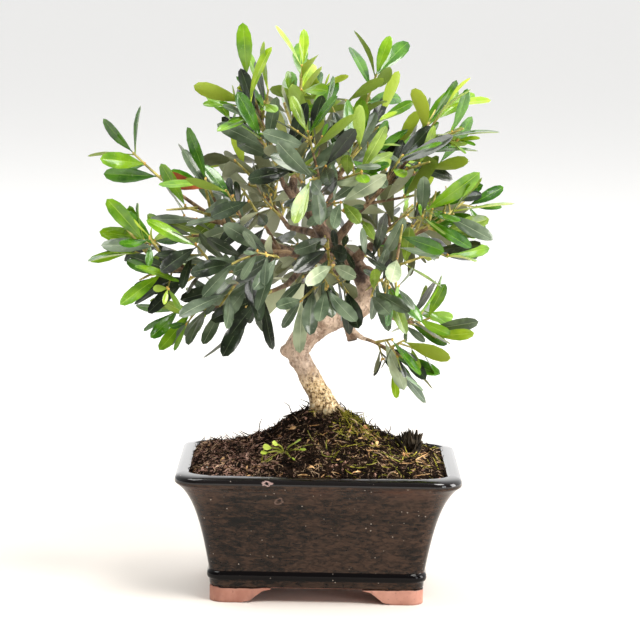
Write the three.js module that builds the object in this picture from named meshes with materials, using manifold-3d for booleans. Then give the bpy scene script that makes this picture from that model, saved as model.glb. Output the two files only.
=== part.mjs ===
// An olive bonsai in a glazed pot on four clay feet, with its soil, trunk, boughs and foliage masses.
// Millimetres, Z up, Y running away from the front. Everything is laid out about the middle of the pot,
// and the whole is then moved so that its box stands centred on the origin.
import * as THREE from 'three';
import { mergeVertices } from 'three/addons/utils/BufferGeometryUtils.js';
import Module from 'manifold-3d';

const wasm = await Module();
wasm.setup();

// Clearance between pieces that meet.
const SEAT = 0.3;

// Pot: a rounded rectangle at every height, its half depth less than its half width by one amount.
const RIM_HALF_WIDTH = 75;
const RIM_TOP = 70;
const RIM_CORNER = 15;
const HALF_DEPTH_LESS = 15;
const POT_UNDERSIDE = 8;
const POT_FLOOR = 15;
const BASE_HALF_WIDTH = 56.3;
const BASE_CORNER = 8;
const WALL_THICKNESS = 8;
const INNER_CORNER = 9;
const BEAD_MIDDLE = 14.4;
const BEAD_HALF_TALL = 2.4;
const BEAD_PROUD = 1.2;
const BEAD_STEP = 0.3;
const BEAD_MARKS = [-1, -0.45, 0.35, 1];
const WALL_FOOT = [56.8, 17.2];
const WALL_LOW_PULL = [60, 34];
const WALL_HIGH_PULL = [64, 56.5];
const WALL_HEAD = [74.5, 64.6];
const WALL_STEPS = 5;
const CORNER_STEPS = 4;

// Rim: how far in from its widest line and how far under its top, from the outer edge to the flat top.
const RIM_ROUND = [[0, 3.4], [0.5, 1.1], [1.8, 0]];
const RIM_TOP_CORNER = 14;
const INNER_BEVEL = 0.9;

// Feet: an L at each corner, flat on the ground, rising in an ogee to the underside of the pot.
const FOOT_ARM = 12;
const FOOT_END_HEIGHT = 7.3;
const FRONT_GROUND_GAP = 39.5;
const FRONT_TOP_GAP = 24;
const SIDE_GROUND_GAP = 21;
const SIDE_TOP_GAP = 12;
const FOOT_INNER_CORNER = 3;
const FOOT_CORNER_STEPS = 3;
const FOOT_CURVE_STEPS = 4;
const OVERCUT = 1;

// Soil: half width and height of the mound from the pot's wall to the small flat top under the trunk.
const SOIL_SLOPE = [[65.7, 68], [62, 74], [50, 79.2], [36, 84], [24, 89.8], [14, 94.8]];
const SOIL_FLAT_HALF = 10;
const SOIL_PEAK_X = 3;
const SOIL_BUMP = 0.7;
const SOIL_BUMP_ROUND = 2.4;
const SOIL_BUMP_CLIMB = 0.7;
const SOIL_CLEARANCE = SEAT + 0.1;
const SOIL_DEPTH_SHARE = 0.77;

// Trunk: x, y, z and radius along its axis; it starts under ground level and is cut flat there.
const GROUND = 97.5;
const TRUNK_AXIS = [
  [4.6, 0, 92, 8.4],
  [0.8, 0, 103, 6.5],
  [-7.5, -1, 118.5, 5.1],
  [-12, -2, 129, 6.9],
  [-5, -2, 140, 7.0],
  [10, 0, 147.5, 6.1],
  [24, 2, 155, 5.4],
  [20, 3, 171, 5.1],
  [5, 2, 185, 4.5],
  [-5, 1, 200, 3.5],
  [-16, 0, 214, 2.6],
];
const TRUNK_SIDES = 8;
const TRUNK_STEPS = 26;
const TRUNK_SAMPLES = 60;
const KNOB_PLACE = [-18.2, -3, 128.5];
const KNOB_RADIUS = 3.6;
const SCAR_PLACE = [1.5, -6.4, 145];
const SCAR_RADIUS = 4.2;
const STUB_START = [14, -1, 146];
const STUB_END = [17, -3, 134.5];
const STUB_RADII = [3.4, 2.8];
const STUB_SIDES = 8;
const KNOB_FACETS = [7, 5];
const GROUND_BLOCK = [60, 60, 40];

// Boughs: the limb each leaves and how far along it, its middle and tip, and its radius at base and tip.
const BOUGHS = [
  bough('bough_left', 'trunk', 0.735, [-12, -11, 181.5], [-30, -16, 187], 3.4, 2.0),
  bough('bough_left_middle', 'bough_left', 0.62, [-26, -22, 181], [-36, -28, 176], 2.2, 1.4),
  bough('bough_left_low', 'bough_left', 0.45, [-11, -13, 174], [-18, -18, 166], 2.2, 1.5),
  bough('bough_left_front', 'bough_left', 0.3, [-11, -22, 184], [-15, -29, 184], 2.0, 1.3),
  bough('bough_upper_left', 'trunk', 0.93, [-15, -1, 209], [-21, -2, 217], 2.4, 1.5),
  bough('bough_upper_right', 'trunk', 0.86, [1, 6, 202], [5, 8, 212], 2.6, 1.6),
  bough('bough_right_high', 'trunk', 0.8, [12, -3, 194], [18, -8, 203], 2.8, 1.7),
  bough('bough_right', 'trunk', 0.735, [26, -9, 186], [35, -15, 190], 3.0, 1.7),
  bough('bough_right_low', 'trunk', 0.585, [30, -2, 152], [35, -5, 149], 2.2, 1.4),
  bough('bough_right_bottom', 'trunk', 0.5, [18, -6, 139.5], [22, -9, 137], 2.0, 1.3),
  bough('bough_right_front', 'trunk', 0.7, [24, -10, 174], [28, -22, 173], 2.2, 1.4),
  bough('bough_front_low', 'bough_left', 0.14, [8, -11, 179], [5, -23, 177], 2.2, 1.4),
  bough('bough_front', 'trunk', 0.87, [-3, -10, 198], [-4, -20, 201], 2.4, 1.5),
  bough('bough_back_left', 'trunk', 0.83, [-8, 13, 191], [-18, 23, 192], 2.8, 1.6),
  bough('bough_back_right', 'trunk', 0.72, [22, 14, 180], [28, 24, 184], 2.8, 1.6),
  bough('bough_back_top', 'trunk', 0.9, [-5, 9, 208], [-4, 17, 214], 2.4, 1.5),
  bough('bough_back_low', 'trunk', 0.66, [15, 15, 170], [8, 27, 167], 2.6, 1.5),
];
const BOUGH_SIDES = 5;
const BOUGH_STEPS = 3;
const BOUGH_SAMPLES = 14;

// Masses: the limb each grows from, the tip of its stem and the rise of its middle, how wide its space is,
// how many side shoots it may carry, how long they are, and its seed.
const MASSES = [
  mass('left_high', 'bough_left', [-100, -18, 234], -5, 34, 9, 48, 309),
  mass('left_middle', 'bough_left_middle', [-97, -38, 184], -6, 33, 13, 38, 5),
  mass('left_low', 'bough_left_low', [-76, -26, 152], -3, 33, 5, 18, 302),
  mass('left_front', 'bough_left_front', [-46, -62, 181], 3, 38, 5, 38, 180),
  mass('upper_left', 'bough_upper_left', [-42, -2, 274], 2, 38, 8, 24, 21),
  mass('top', 'trunk', [-12, 2, 280], 4, 34, 5, 30, 389),
  mass('upper_right', 'bough_upper_right', [27, 4, 276], 0, 36, 8, 32, 35),
  mass('right_high', 'bough_right_high', [63, -16, 261], -4, 36, 11, 36, 148),
  mass('right_middle', 'bough_right', [68, -30, 206], -2, 33, 9, 26, 250),
  mass('right_low', 'bough_right_low', [58, -6, 148], -3, 30, 5, 14, 102),
  mass('right_bottom', 'bough_right_bottom', [50, -14, 123], 2, 27, 4, 16, 116),
  mass('right_front', 'bough_right_front', [40, -60, 178], 3, 34, 11, 32, 214),
  mass('front_low', 'bough_front_low', [2, -58, 168], 5, 36, 9, 29, 87),
  mass('front', 'bough_front', [1, -60, 232], 4, 40, 7, 30, 323),
  mass('back_left', 'bough_back_left', [-44, 56, 222], 0, 39, 11, 14, 232),
  mass('back_right', 'bough_back_right', [49, 56, 202], 0, 42, 5, 30, 85),
  mass('back_top', 'bough_back_top', [-4, 48, 262], 2, 40, 5, 28, 321),
  mass('back_low', 'bough_back_low', [-8, 64, 168], 3, 45, 8, 22, 397),
];
const STEM_SAMPLES = 12;
const STEM_STEPS = 4;
const SHOOT_STEPS = 1;
const TWIG_SIDES = 3;
const STEM_RADII = [1.5, 0.9];
const SHOOT_RADII = [0.6, 0.6];
const END_BLOCK_WIDE = 4.4;
const END_BLOCK_LONG = 2;
const INTERNODE = 8.6;
const SHOOT_SPACING = 5;
const SHOOT_TRIALS = 6;

// Leaves.
const LEAF_LENGTH = 27.5;
const LEAF_WIDTH_SHARE = 0.345;
const LEAF_THICKNESS = 0.6;
const LEAF_SINK = -0.05;
const LAST_PAIR_INSET = 1.4;
const TIP_LEAF_INSET = 0.7;
const LEAF_NEAR = 0.4;
const LEAF_FAR = 0.68;
const LEAF_FAR_WIDTH = 0.92;
const LEAF_TRIALS = 7;
const LEAF_SPACING = 4.4;
const LEAF_MIDDLES = [0.3, 0.55, 0.8];
const LEAF_GRID = [
  [0.15, 0], [0.3, 0], [0.45, 0], [0.6, 0], [0.75, 0], [0.9, 0], [1, 0],
  [0.3, -0.8], [0.3, 0.8], [0.45, -1], [0.45, 1], [0.6, -1], [0.6, 1], [0.75, -0.8], [0.75, 0.8],
];
const LEAF_OUTLINE = [
  [0.08, 0], [LEAF_NEAR, 1], [LEAF_FAR, LEAF_FAR_WIDTH], [1, 0], [LEAF_FAR, -LEAF_FAR_WIDTH], [LEAF_NEAR, -1],
];
const LEAF_FLATS = [[0, 1, 5], [1, 2, 5], [2, 4, 5], [2, 3, 4]];
const LEAF_CALL = 32;

// How leaves grow. A leaf is young where it lies far enough out and up, give or take some chance.
const YOUNG_FROM = 0.8;
const YOUNG_CHANCE = 0.35;
const YOUNG_ALONG = 0.12;
const YOUNG_ALONG_MIDDLE = 0.6;
const YOUNG_BELOW = 0.3;
const YOUNG_SIZE = 1.1;
const LEAF_LEAST = 0.82;
const LEAF_SPREAD = 0.36;
const OPEN_AT_ROOT = 74;
const OPEN_TO_TIP = 34;
const OPEN_CHANCE = 24;
const YOUNG_LIFT = 0.3;
const GROWN_LIFT = 0.1;
const GROWN_DROOP = 0.8;
const LEAF_SWING = 0.5;
const LEAF_ROLL_CHANCE = 0.4;
const FACE_OUTWARD = 0.6;
const FACE_UPWARD = 0.35;
const FACE_CHANCE = 1.3;
const FACE_AWAY = 0.4;
const FACE_LEAST = 0.02;
const BACK_FROM = 15;
const TIP_LEAF = { mark: 3, node: 90, share: 1.25, size: 0.75, open: 6, turn: 0.6 };
const STEM_LEAF_NODE = 50;

// How side shoots grow.
const SHOOT_LEAST = 0.7;
const SHOOT_SPREAD = 0.6;
const SHOOT_SHORTER = 0.12;
const SHOOT_SWING = 0.6;
const SHOOT_ALONG = 0.55;
const SHOOT_ASIDE = 0.85;
const SHOOT_OUTWARD = 0.2;
const SHOOT_UPWARD = 0.22;
const SHOOT_AT_ROOT = 1.1;
const SHOOT_TO_TIP = 0.4;
const SHOOT_LAST = 0.9;
const SHOOT_CLEAR_FROM = 0.15;
const SHOOT_CLEAR_STEPS = 6;
const SHOOT_APART_FROM = 0.2;
const SHOOT_APART_STEPS = 5;

// The foliage as a whole: its middle and half sizes, margins of each mass's space, clearance from limbs.
const FOLIAGE_MIDDLE = new THREE.Vector3(-12, 0, 190);
const FOLIAGE_HALF_WIDTH = 108;
const FOLIAGE_HALF_HEIGHT = 106;
const LEAF_MARGIN = 0.8;
const SHOOT_MARGIN = 1.1;
const LEAF_CLEARANCE = 1.6;
const SHOOT_CLEARANCE = 1.3;

// Openings where sky shows through the foliage from the front: x, z and radius, with the fall of the view.
const VIEW_SLOPE = 0.1317;
const OPENINGS = [
  [74, 155, 8], [-66, 253, 7.5], [-84, 237, 7], [-105, 167, 7], [-50, 274, 6], [7, 285, 5.5], [63, 272, 5.5],
  [-88, 207, 5.5], [79, 170, 5], [-110, 211, 5], [47, 163, 5], [-25, 286, 4.5], [47, 287, 4.5],
  [62, 174, 4.5], [13, 271, 4], [5, 123, 14], [62, 250, 3.5], [-67, 207, 3.5], [37, 249, 3.5],
];

const UPWARD = new THREE.Vector3(0, 0, 1);
const RIGHTWARD = new THREE.Vector3(1, 0, 0);
const AWAY = new THREE.Vector3(0, 1, 0);

const PAINTS = {
  glaze: { color: 0x2a1d17, roughness: 0.15, metalness: 0 },
  clay: { color: 0xa9786a, roughness: 0.85, metalness: 0 },
  soil: { color: 0x34261d, roughness: 0.95, metalness: 0 },
  bark: { color: 0xb39a80, roughness: 0.8, metalness: 0 },
  leaf: { color: 0x5c7348, roughness: 0.5, metalness: 0 },
};

function bough(name, limb, place, middle, tip, baseRadius, tipRadius) {
  return { name, limb, place, middle, tip, baseRadius, tipRadius };
}

function mass(name, limb, tip, rise, width, shoots, shootLength, seed) {
  return { name, limb, tip, rise, width, shoots, shootLength, seed };
}

function vector(list) {
  return new THREE.Vector3(list[0], list[1], list[2]);
}

function step(start, way, far) {
  return start.clone().addScaledVector(way, far);
}

function blend(...parts) {
  const sum = new THREE.Vector3();
  for (const [way, share] of parts) {
    sum.addScaledVector(way, share);
  }
  return sum;
}

// A number between 0 and 1 that is always the same for the same place in the plant.
function chance(...keys) {
  const weights = [12.9898, 78.233, 37.719, 53.117];
  const mix = keys.reduce((sum, key, place) => sum + key * weights[place], 0);
  const wave = Math.sin(mix) * 43758.5453;
  return wave - Math.floor(wave);
}

// Solids.

function solidFrom(geometry) {
  const bare = geometry.clone();
  bare.deleteAttribute('normal');
  bare.deleteAttribute('uv');
  const merged = mergeVertices(bare, 1e-4);
  const places = merged.attributes.position;
  const index = merged.index.array;
  const corners = [];
  const first = new THREE.Vector3();
  const second = new THREE.Vector3();
  const third = new THREE.Vector3();
  let sixVolumes = 0;
  for (let i = 0; i < index.length; i += 3) {
    const [a, b, c] = [index[i], index[i + 1], index[i + 2]];
    if (a === b || b === c || c === a) {
      continue;
    }
    corners.push(a, b, c);
    first.fromBufferAttribute(places, a);
    second.fromBufferAttribute(places, b);
    third.fromBufferAttribute(places, c);
    sixVolumes += first.dot(second.cross(third));
  }
  if (sixVolumes < 0) {
    corners.reverse();
  }
  const mesh = new wasm.Mesh({
    numProp: 3,
    vertProperties: new Float32Array(places.array),
    triVerts: new Uint32Array(corners),
  });
  return new wasm.Manifold(mesh);
}

function geometryFrom(solid) {
  const mesh = solid.getMesh();
  const geometry = new THREE.BufferGeometry();
  geometry.setAttribute('position', new THREE.BufferAttribute(new Float32Array(mesh.vertProperties), 3));
  geometry.setIndex(new THREE.BufferAttribute(new Uint32Array(mesh.triVerts), 1));
  geometry.computeVertexNormals();
  return geometry;
}

function largestBody(solid) {
  const bodies = solid.decompose();
  bodies.sort((one, other) => other.volume() - one.volume());
  return bodies[0];
}

// A stack of rounded rectangles, closed at both ends on the axis.
function roundedStack(rings) {
  const segments = 4 * CORNER_STEPS;
  const profile = rings.map((ring) => new THREE.Vector2(ring.halfWidth, ring.height));
  const geometry = new THREE.LatheGeometry(profile, segments);
  const places = geometry.attributes.position;
  for (let i = 0; i < places.count; i += 1) {
    const ring = rings[i % rings.length];
    const segment = Math.floor(i / rings.length) % segments;
    const corner = Math.floor(segment / CORNER_STEPS);
    const share = (segment % CORNER_STEPS) / (CORNER_STEPS - 1);
    const turn = (corner + share - 1) * Math.PI / 2;
    const radius = Math.min(ring.corner, ring.halfWidth, ring.halfDepth);
    const sideX = corner < 2 ? 1 : -1;
    const sideY = corner === 1 || corner === 2 ? 1 : -1;
    const x = ring.shift + sideX * (ring.halfWidth - radius) + radius * Math.cos(turn);
    const y = sideY * (ring.halfDepth - radius) + radius * Math.sin(turn);
    const bump = ring.bump * Math.sin(SOIL_BUMP_ROUND * segment + SOIL_BUMP_CLIMB * ring.height);
    places.setXYZ(i, x, y, ring.height + bump);
  }
  return solidFrom(geometry);
}

function potRing(halfWidth, height, corner) {
  const halfDepth = Math.max(0, halfWidth - HALF_DEPTH_LESS);
  return { halfWidth, halfDepth, height, corner, shift: 0, bump: 0 };
}

function wallCurve() {
  const marks = [WALL_FOOT, WALL_LOW_PULL, WALL_HIGH_PULL, WALL_HEAD];
  const curve = new THREE.CubicBezierCurve(...marks.map(([x, y]) => new THREE.Vector2(x, y)));
  return curve.getPoints(WALL_STEPS);
}

function innerWall(inset) {
  const inward = WALL_THICKNESS + inset;
  return wallCurve().reverse().map((point) => potRing(point.x - inward, point.y, INNER_CORNER));
}

function makePot() {
  const rings = [potRing(0, POT_UNDERSIDE, 0), potRing(BASE_HALF_WIDTH, POT_UNDERSIDE, BASE_CORNER)];
  for (const mark of BEAD_MARKS) {
    const proud = BEAD_STEP + BEAD_PROUD * (1 - mark * mark);
    rings.push(potRing(BASE_HALF_WIDTH + proud, BEAD_MIDDLE + mark * BEAD_HALF_TALL, BASE_CORNER));
  }
  for (const point of wallCurve()) {
    const rise = (point.y - WALL_FOOT[1]) / (WALL_HEAD[1] - WALL_FOOT[1]);
    rings.push(potRing(point.x, point.y, BASE_CORNER + (RIM_CORNER - BASE_CORNER) * rise));
  }
  for (const [inset, drop] of RIM_ROUND) {
    rings.push(potRing(RIM_HALF_WIDTH - inset, RIM_TOP - drop, drop === 0 ? RIM_TOP_CORNER : RIM_CORNER));
  }
  rings.push(potRing(WALL_HEAD[0] - WALL_THICKNESS + INNER_BEVEL, RIM_TOP, INNER_CORNER));
  rings.push(potRing(WALL_HEAD[0] - WALL_THICKNESS, RIM_TOP - INNER_BEVEL, INNER_CORNER));
  rings.push(...innerWall(0));
  rings.push(potRing(WALL_FOOT[0] - WALL_THICKNESS - INNER_BEVEL, POT_FLOOR, INNER_CORNER));
  rings.push(potRing(0, POT_FLOOR, 0));
  return roundedStack(rings);
}

function makeSoil() {
  const inside = innerWall(SOIL_CLEARANCE).reverse();
  const floorHalfWidth = WALL_FOOT[0] - WALL_THICKNESS - INNER_BEVEL - SOIL_CLEARANCE;
  const rings = [potRing(0, POT_FLOOR, 0)];
  rings.push(potRing(floorHalfWidth, POT_FLOOR, INNER_CORNER));
  rings.push(...inside);
  SOIL_SLOPE.forEach(([halfWidth, height], place) => {
    const rise = (height - SOIL_SLOPE[0][1]) / (GROUND - SEAT - SOIL_SLOPE[0][1]);
    rings.push({
      halfWidth,
      halfDepth: halfWidth * SOIL_DEPTH_SHARE,
      height,
      corner: INNER_CORNER + (halfWidth * SOIL_DEPTH_SHARE - INNER_CORNER) * rise,
      shift: SOIL_PEAK_X * rise,
      bump: place === 0 ? 0 : SOIL_BUMP,
    });
  });
  const top = { height: GROUND - SEAT, shift: SOIL_PEAK_X, bump: 0 };
  rings.push({ ...top, halfWidth: SOIL_FLAT_HALF, halfDepth: SOIL_FLAT_HALF, corner: SOIL_FLAT_HALF });
  rings.push({ ...top, halfWidth: 0, halfDepth: 0, corner: 0 });
  return roundedStack(rings);
}

function roundedOutline(Kind, halfWidth, halfDepth, corner) {
  const outline = new Kind();
  const quarter = Math.PI / 2;
  outline.absarc(halfWidth - corner, halfDepth - corner, corner, 0, quarter);
  outline.absarc(corner - halfWidth, halfDepth - corner, corner, quarter, 2 * quarter);
  outline.absarc(corner - halfWidth, corner - halfDepth, corner, 2 * quarter, 3 * quarter);
  outline.absarc(halfWidth - corner, corner - halfDepth, corner, 3 * quarter, 4 * quarter);
  outline.closePath();
  return outline;
}

// The space between two feet along one side, reaching below the ground and above the feet.
function footGap(groundGap, topGap, reach) {
  const outline = new THREE.Shape();
  const bend = (groundGap - topGap) / 2;
  outline.moveTo(-groundGap, -OVERCUT);
  outline.lineTo(-groundGap, 0);
  outline.bezierCurveTo(-groundGap + bend, 0, -topGap - bend, FOOT_END_HEIGHT, -topGap, FOOT_END_HEIGHT);
  outline.lineTo(-topGap, POT_UNDERSIDE + OVERCUT);
  outline.lineTo(topGap, POT_UNDERSIDE + OVERCUT);
  outline.lineTo(topGap, FOOT_END_HEIGHT);
  outline.bezierCurveTo(topGap + bend, FOOT_END_HEIGHT, groundGap - bend, 0, groundGap, 0);
  outline.lineTo(groundGap, -OVERCUT);
  outline.closePath();
  const settings = { depth: 2 * reach, bevelEnabled: false, curveSegments: FOOT_CURVE_STEPS };
  const geometry = new THREE.ExtrudeGeometry(outline, settings);
  geometry.translate(0, 0, -reach);
  geometry.rotateX(Math.PI / 2);
  return geometry;
}

function makeFeet() {
  const halfDepth = BASE_HALF_WIDTH - HALF_DEPTH_LESS;
  const outline = roundedOutline(THREE.Shape, BASE_HALF_WIDTH, halfDepth, BASE_CORNER);
  outline.holes.push(
    roundedOutline(THREE.Path, BASE_HALF_WIDTH - FOOT_ARM, halfDepth - FOOT_ARM, FOOT_INNER_CORNER),
  );
  const settings = { depth: POT_UNDERSIDE, bevelEnabled: false, curveSegments: FOOT_CORNER_STEPS };
  const slab = new THREE.ExtrudeGeometry(outline, settings);
  const frontGap = footGap(FRONT_GROUND_GAP, FRONT_TOP_GAP, 2 * BASE_HALF_WIDTH);
  const sideGap = footGap(SIDE_GROUND_GAP, SIDE_TOP_GAP, 2 * BASE_HALF_WIDTH);
  sideGap.rotateZ(Math.PI / 2);
  const feet = solidFrom(slab).subtract(solidFrom(frontGap)).subtract(solidFrom(sideGap)).decompose();
  return feet.map((foot) => {
    const box = foot.boundingBox();
    const depthName = box.min[1] + box.max[1] < 0 ? 'front' : 'back';
    const sideName = box.min[0] + box.max[0] < 0 ? 'left' : 'right';
    return { name: `foot_${depthName}_${sideName}`, solid: foot };
  });
}

// Limbs.

function makeLimb(points, radii, samples) {
  const curve = new THREE.CatmullRomCurve3(points, false, 'catmullrom', 0.5);
  const radiusAt = (share) => {
    const place = share * (radii.length - 1);
    const before = Math.min(Math.floor(place), radii.length - 2);
    return THREE.MathUtils.lerp(radii[before], radii[before + 1], place - before);
  };
  const line = curve.getPoints(samples);
  const girths = line.map((point, i) => radiusAt(i / samples));
  const endWay = line[samples].clone().sub(line[samples - 1]).normalize();
  return { curve, radiusAt, line, girths, end: points[points.length - 1], endWay };
}

// A closed tapering tube along a curve; the crosswise direction must never run along the curve.
function tube(curve, radiusAt, sides, steps, crosswise) {
  const geometry = new THREE.CylinderGeometry(1, 1, 1, sides, steps);
  const places = geometry.attributes.position;
  for (let i = 0; i < places.count; i += 1) {
    const share = THREE.MathUtils.clamp(places.getY(i) + 0.5, 0, 1);
    const way = curve.getTangent(share);
    const side = way.clone().cross(crosswise).normalize();
    const top = way.clone().cross(side);
    const radius = radiusAt(share);
    const point = curve.getPoint(share);
    point.addScaledVector(side, radius * places.getX(i));
    point.addScaledVector(top, radius * places.getZ(i));
    places.setXYZ(i, point.x, point.y, point.z);
  }
  return solidFrom(geometry);
}

function crosswiseTo(way) {
  return Math.abs(way.z) > 0.75 ? RIGHTWARD : UPWARD;
}

function limbSolid(limb, sides, steps, crosswise, extra) {
  return tube(limb.curve, (share) => limb.radiusAt(share) + extra, sides, steps, crosswise);
}

function ball(place, radius) {
  const geometry = new THREE.SphereGeometry(radius, ...KNOB_FACETS);
  geometry.translate(place[0], place[1], place[2]);
  return solidFrom(geometry);
}

function trunkSolid(trunk, extra) {
  const stubCurve = new THREE.LineCurve3(vector(STUB_START), vector(STUB_END));
  const stub = tube(stubCurve, taper(STUB_RADII.map((radius) => radius + extra)), STUB_SIDES, 1, AWAY);
  const below = new THREE.BoxGeometry(...GROUND_BLOCK);
  below.translate(0, 0, GROUND - extra - GROUND_BLOCK[2] / 2);
  const whole = limbSolid(trunk, TRUNK_SIDES, TRUNK_STEPS, AWAY, extra);
  const knobbed = whole.add(ball(KNOB_PLACE, KNOB_RADIUS + extra)).add(ball(SCAR_PLACE, SCAR_RADIUS + extra));
  return knobbed.add(stub).subtract(solidFrom(below));
}

function makeLimbs() {
  const points = TRUNK_AXIS.map(vector);
  const limbs = { trunk: makeLimb(points, TRUNK_AXIS.map((mark) => mark[3]), TRUNK_SAMPLES) };
  for (const spec of BOUGHS) {
    const start = limbs[spec.limb].curve.getPoint(spec.place);
    const radii = [spec.baseRadius, (spec.baseRadius + spec.tipRadius) / 2, spec.tipRadius];
    limbs[spec.name] = makeLimb([start, vector(spec.middle), vector(spec.tip)], radii, BOUGH_SAMPLES);
  }
  return limbs;
}

function boughSolid(spec, limbs) {
  const limb = limbs[spec.name];
  const crosswise = crosswiseTo(limb.end.clone().sub(limb.line[0]).normalize());
  const whole = limbSolid(limb, BOUGH_SIDES, BOUGH_STEPS, crosswise, 0);
  const parent = limbs[spec.limb];
  if (spec.limb === 'trunk') {
    return largestBody(whole.subtract(trunkSolid(parent, SEAT)));
  }
  const parentWay = crosswiseTo(parent.end.clone().sub(parent.line[0]).normalize());
  const grown = limbSolid(parent, BOUGH_SIDES, BOUGH_STEPS, parentWay, SEAT);
  return largestBody(whole.subtract(grown).subtract(trunkSolid(limbs.trunk, SEAT)));
}

// Foliage.

function segmentsOf(line) {
  return line.slice(1).map((end, i) => new THREE.Line3(line[i], end));
}

// Evenly spaced points of a curve, from a place along it to its end.
function pointsFrom(curve, from, steps) {
  const places = Array.from({ length: steps + 1 }, (none, place) => from + (1 - from) * place / steps);
  return places.map((place) => curve.getPoint(place));
}

function pointAlong(points, share) {
  const place = share * (points.length - 1);
  const before = Math.min(Math.floor(place), points.length - 2);
  return points[before].clone().lerp(points[before + 1], place - before);
}

function distanceTo(segments, point) {
  const nearest = new THREE.Vector3();
  let best = Infinity;
  for (const segment of segments) {
    segment.closestPointToPoint(point, true, nearest);
    best = Math.min(best, nearest.distanceTo(point));
  }
  return best;
}

function makeStems(limbs) {
  return MASSES.map((spec) => {
    const carrier = limbs[spec.limb];
    const root = step(carrier.end, carrier.endWay, SEAT);
    const tip = vector(spec.tip);
    const middle = root.clone().add(tip).multiplyScalar(0.5);
    const curve = new THREE.QuadraticBezierCurve3(root, step(middle, UPWARD, 2 * spec.rise), tip);
    const line = curve.getPoints(STEM_SAMPLES);
    const joints = curve.getPoints(STEM_STEPS);
    return { ...spec, carrier, curve, joints, line, segments: segmentsOf(line) };
  });
}

// True where every point is nearer its own stem than any other, not too far out, and not in an opening.
function inSpace(stems, own, points, margin) {
  return points.every((point) => {
    const near = distanceTo(own.segments, point);
    if (near > own.width) {
      return false;
    }
    const fall = point.z + VIEW_SLOPE * point.y;
    if (OPENINGS.some(([x, z, radius]) => Math.hypot(point.x - x, fall - z) < radius)) {
      return false;
    }
    return stems.every((other) => other === own || distanceTo(other.segments, point) - near >= 2 * margin);
  });
}

function clearOfLimbs(limbs, points, clearance) {
  return Object.values(limbs).every((limb) => points.every((point) => limb.segments.every((segment, i) => {
    const nearest = segment.closestPointToPoint(point, true, new THREE.Vector3());
    const girth = Math.max(limb.girths[i], limb.girths[i + 1]);
    return nearest.distanceTo(point) > girth + clearance;
  })));
}

function sideways(way, turn) {
  const across = way.clone().cross(crosswiseTo(way)).normalize();
  const over = way.clone().cross(across);
  return blend([across, Math.cos(turn)], [over, Math.sin(turn)]);
}

function swing(trial, amount) {
  return Math.floor((trial + 1) / 2) * (trial % 2 === 1 ? 1 : -1) * amount;
}

// True where any of the straight pieces passes through any of the flat triangles.
function cuts(starts, ends, flats) {
  const ray = new THREE.Ray();
  const hit = new THREE.Vector3();
  return starts.some((start, i) => {
    const reach = start.distanceTo(ends[i]);
    ray.origin.copy(start);
    ray.direction.copy(ends[i]).sub(start).normalize();
    return flats.some((flat) => ray.intersectTriangle(...flat, false, hit) && hit.distanceTo(start) <= reach);
  });
}

function flatsOf(outline) {
  return LEAF_FLATS.map((corners) => corners.map((corner) => outline[corner]));
}

function leafCrosses(outline, grown, carrier) {
  const flats = flatsOf(outline);
  if (grown.lines.some((line, i) => i !== carrier && cuts(line.slice(0, -1), line.slice(1), flats))) {
    return true;
  }
  const turned = (list) => [...list.slice(1), list[0]];
  const middle = outline[0].clone().add(outline[3]).multiplyScalar(0.5);
  return grown.outlines.some((other) => {
    const away = other[0].clone().add(other[3]).multiplyScalar(0.5).sub(middle);
    if (Math.max(Math.abs(away.x), Math.abs(away.y), Math.abs(away.z)) > LEAF_CALL) {
      return false;
    }
    return cuts(outline, turned(outline), flatsOf(other)) || cuts(other, turned(other), flats);
  });
}

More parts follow.
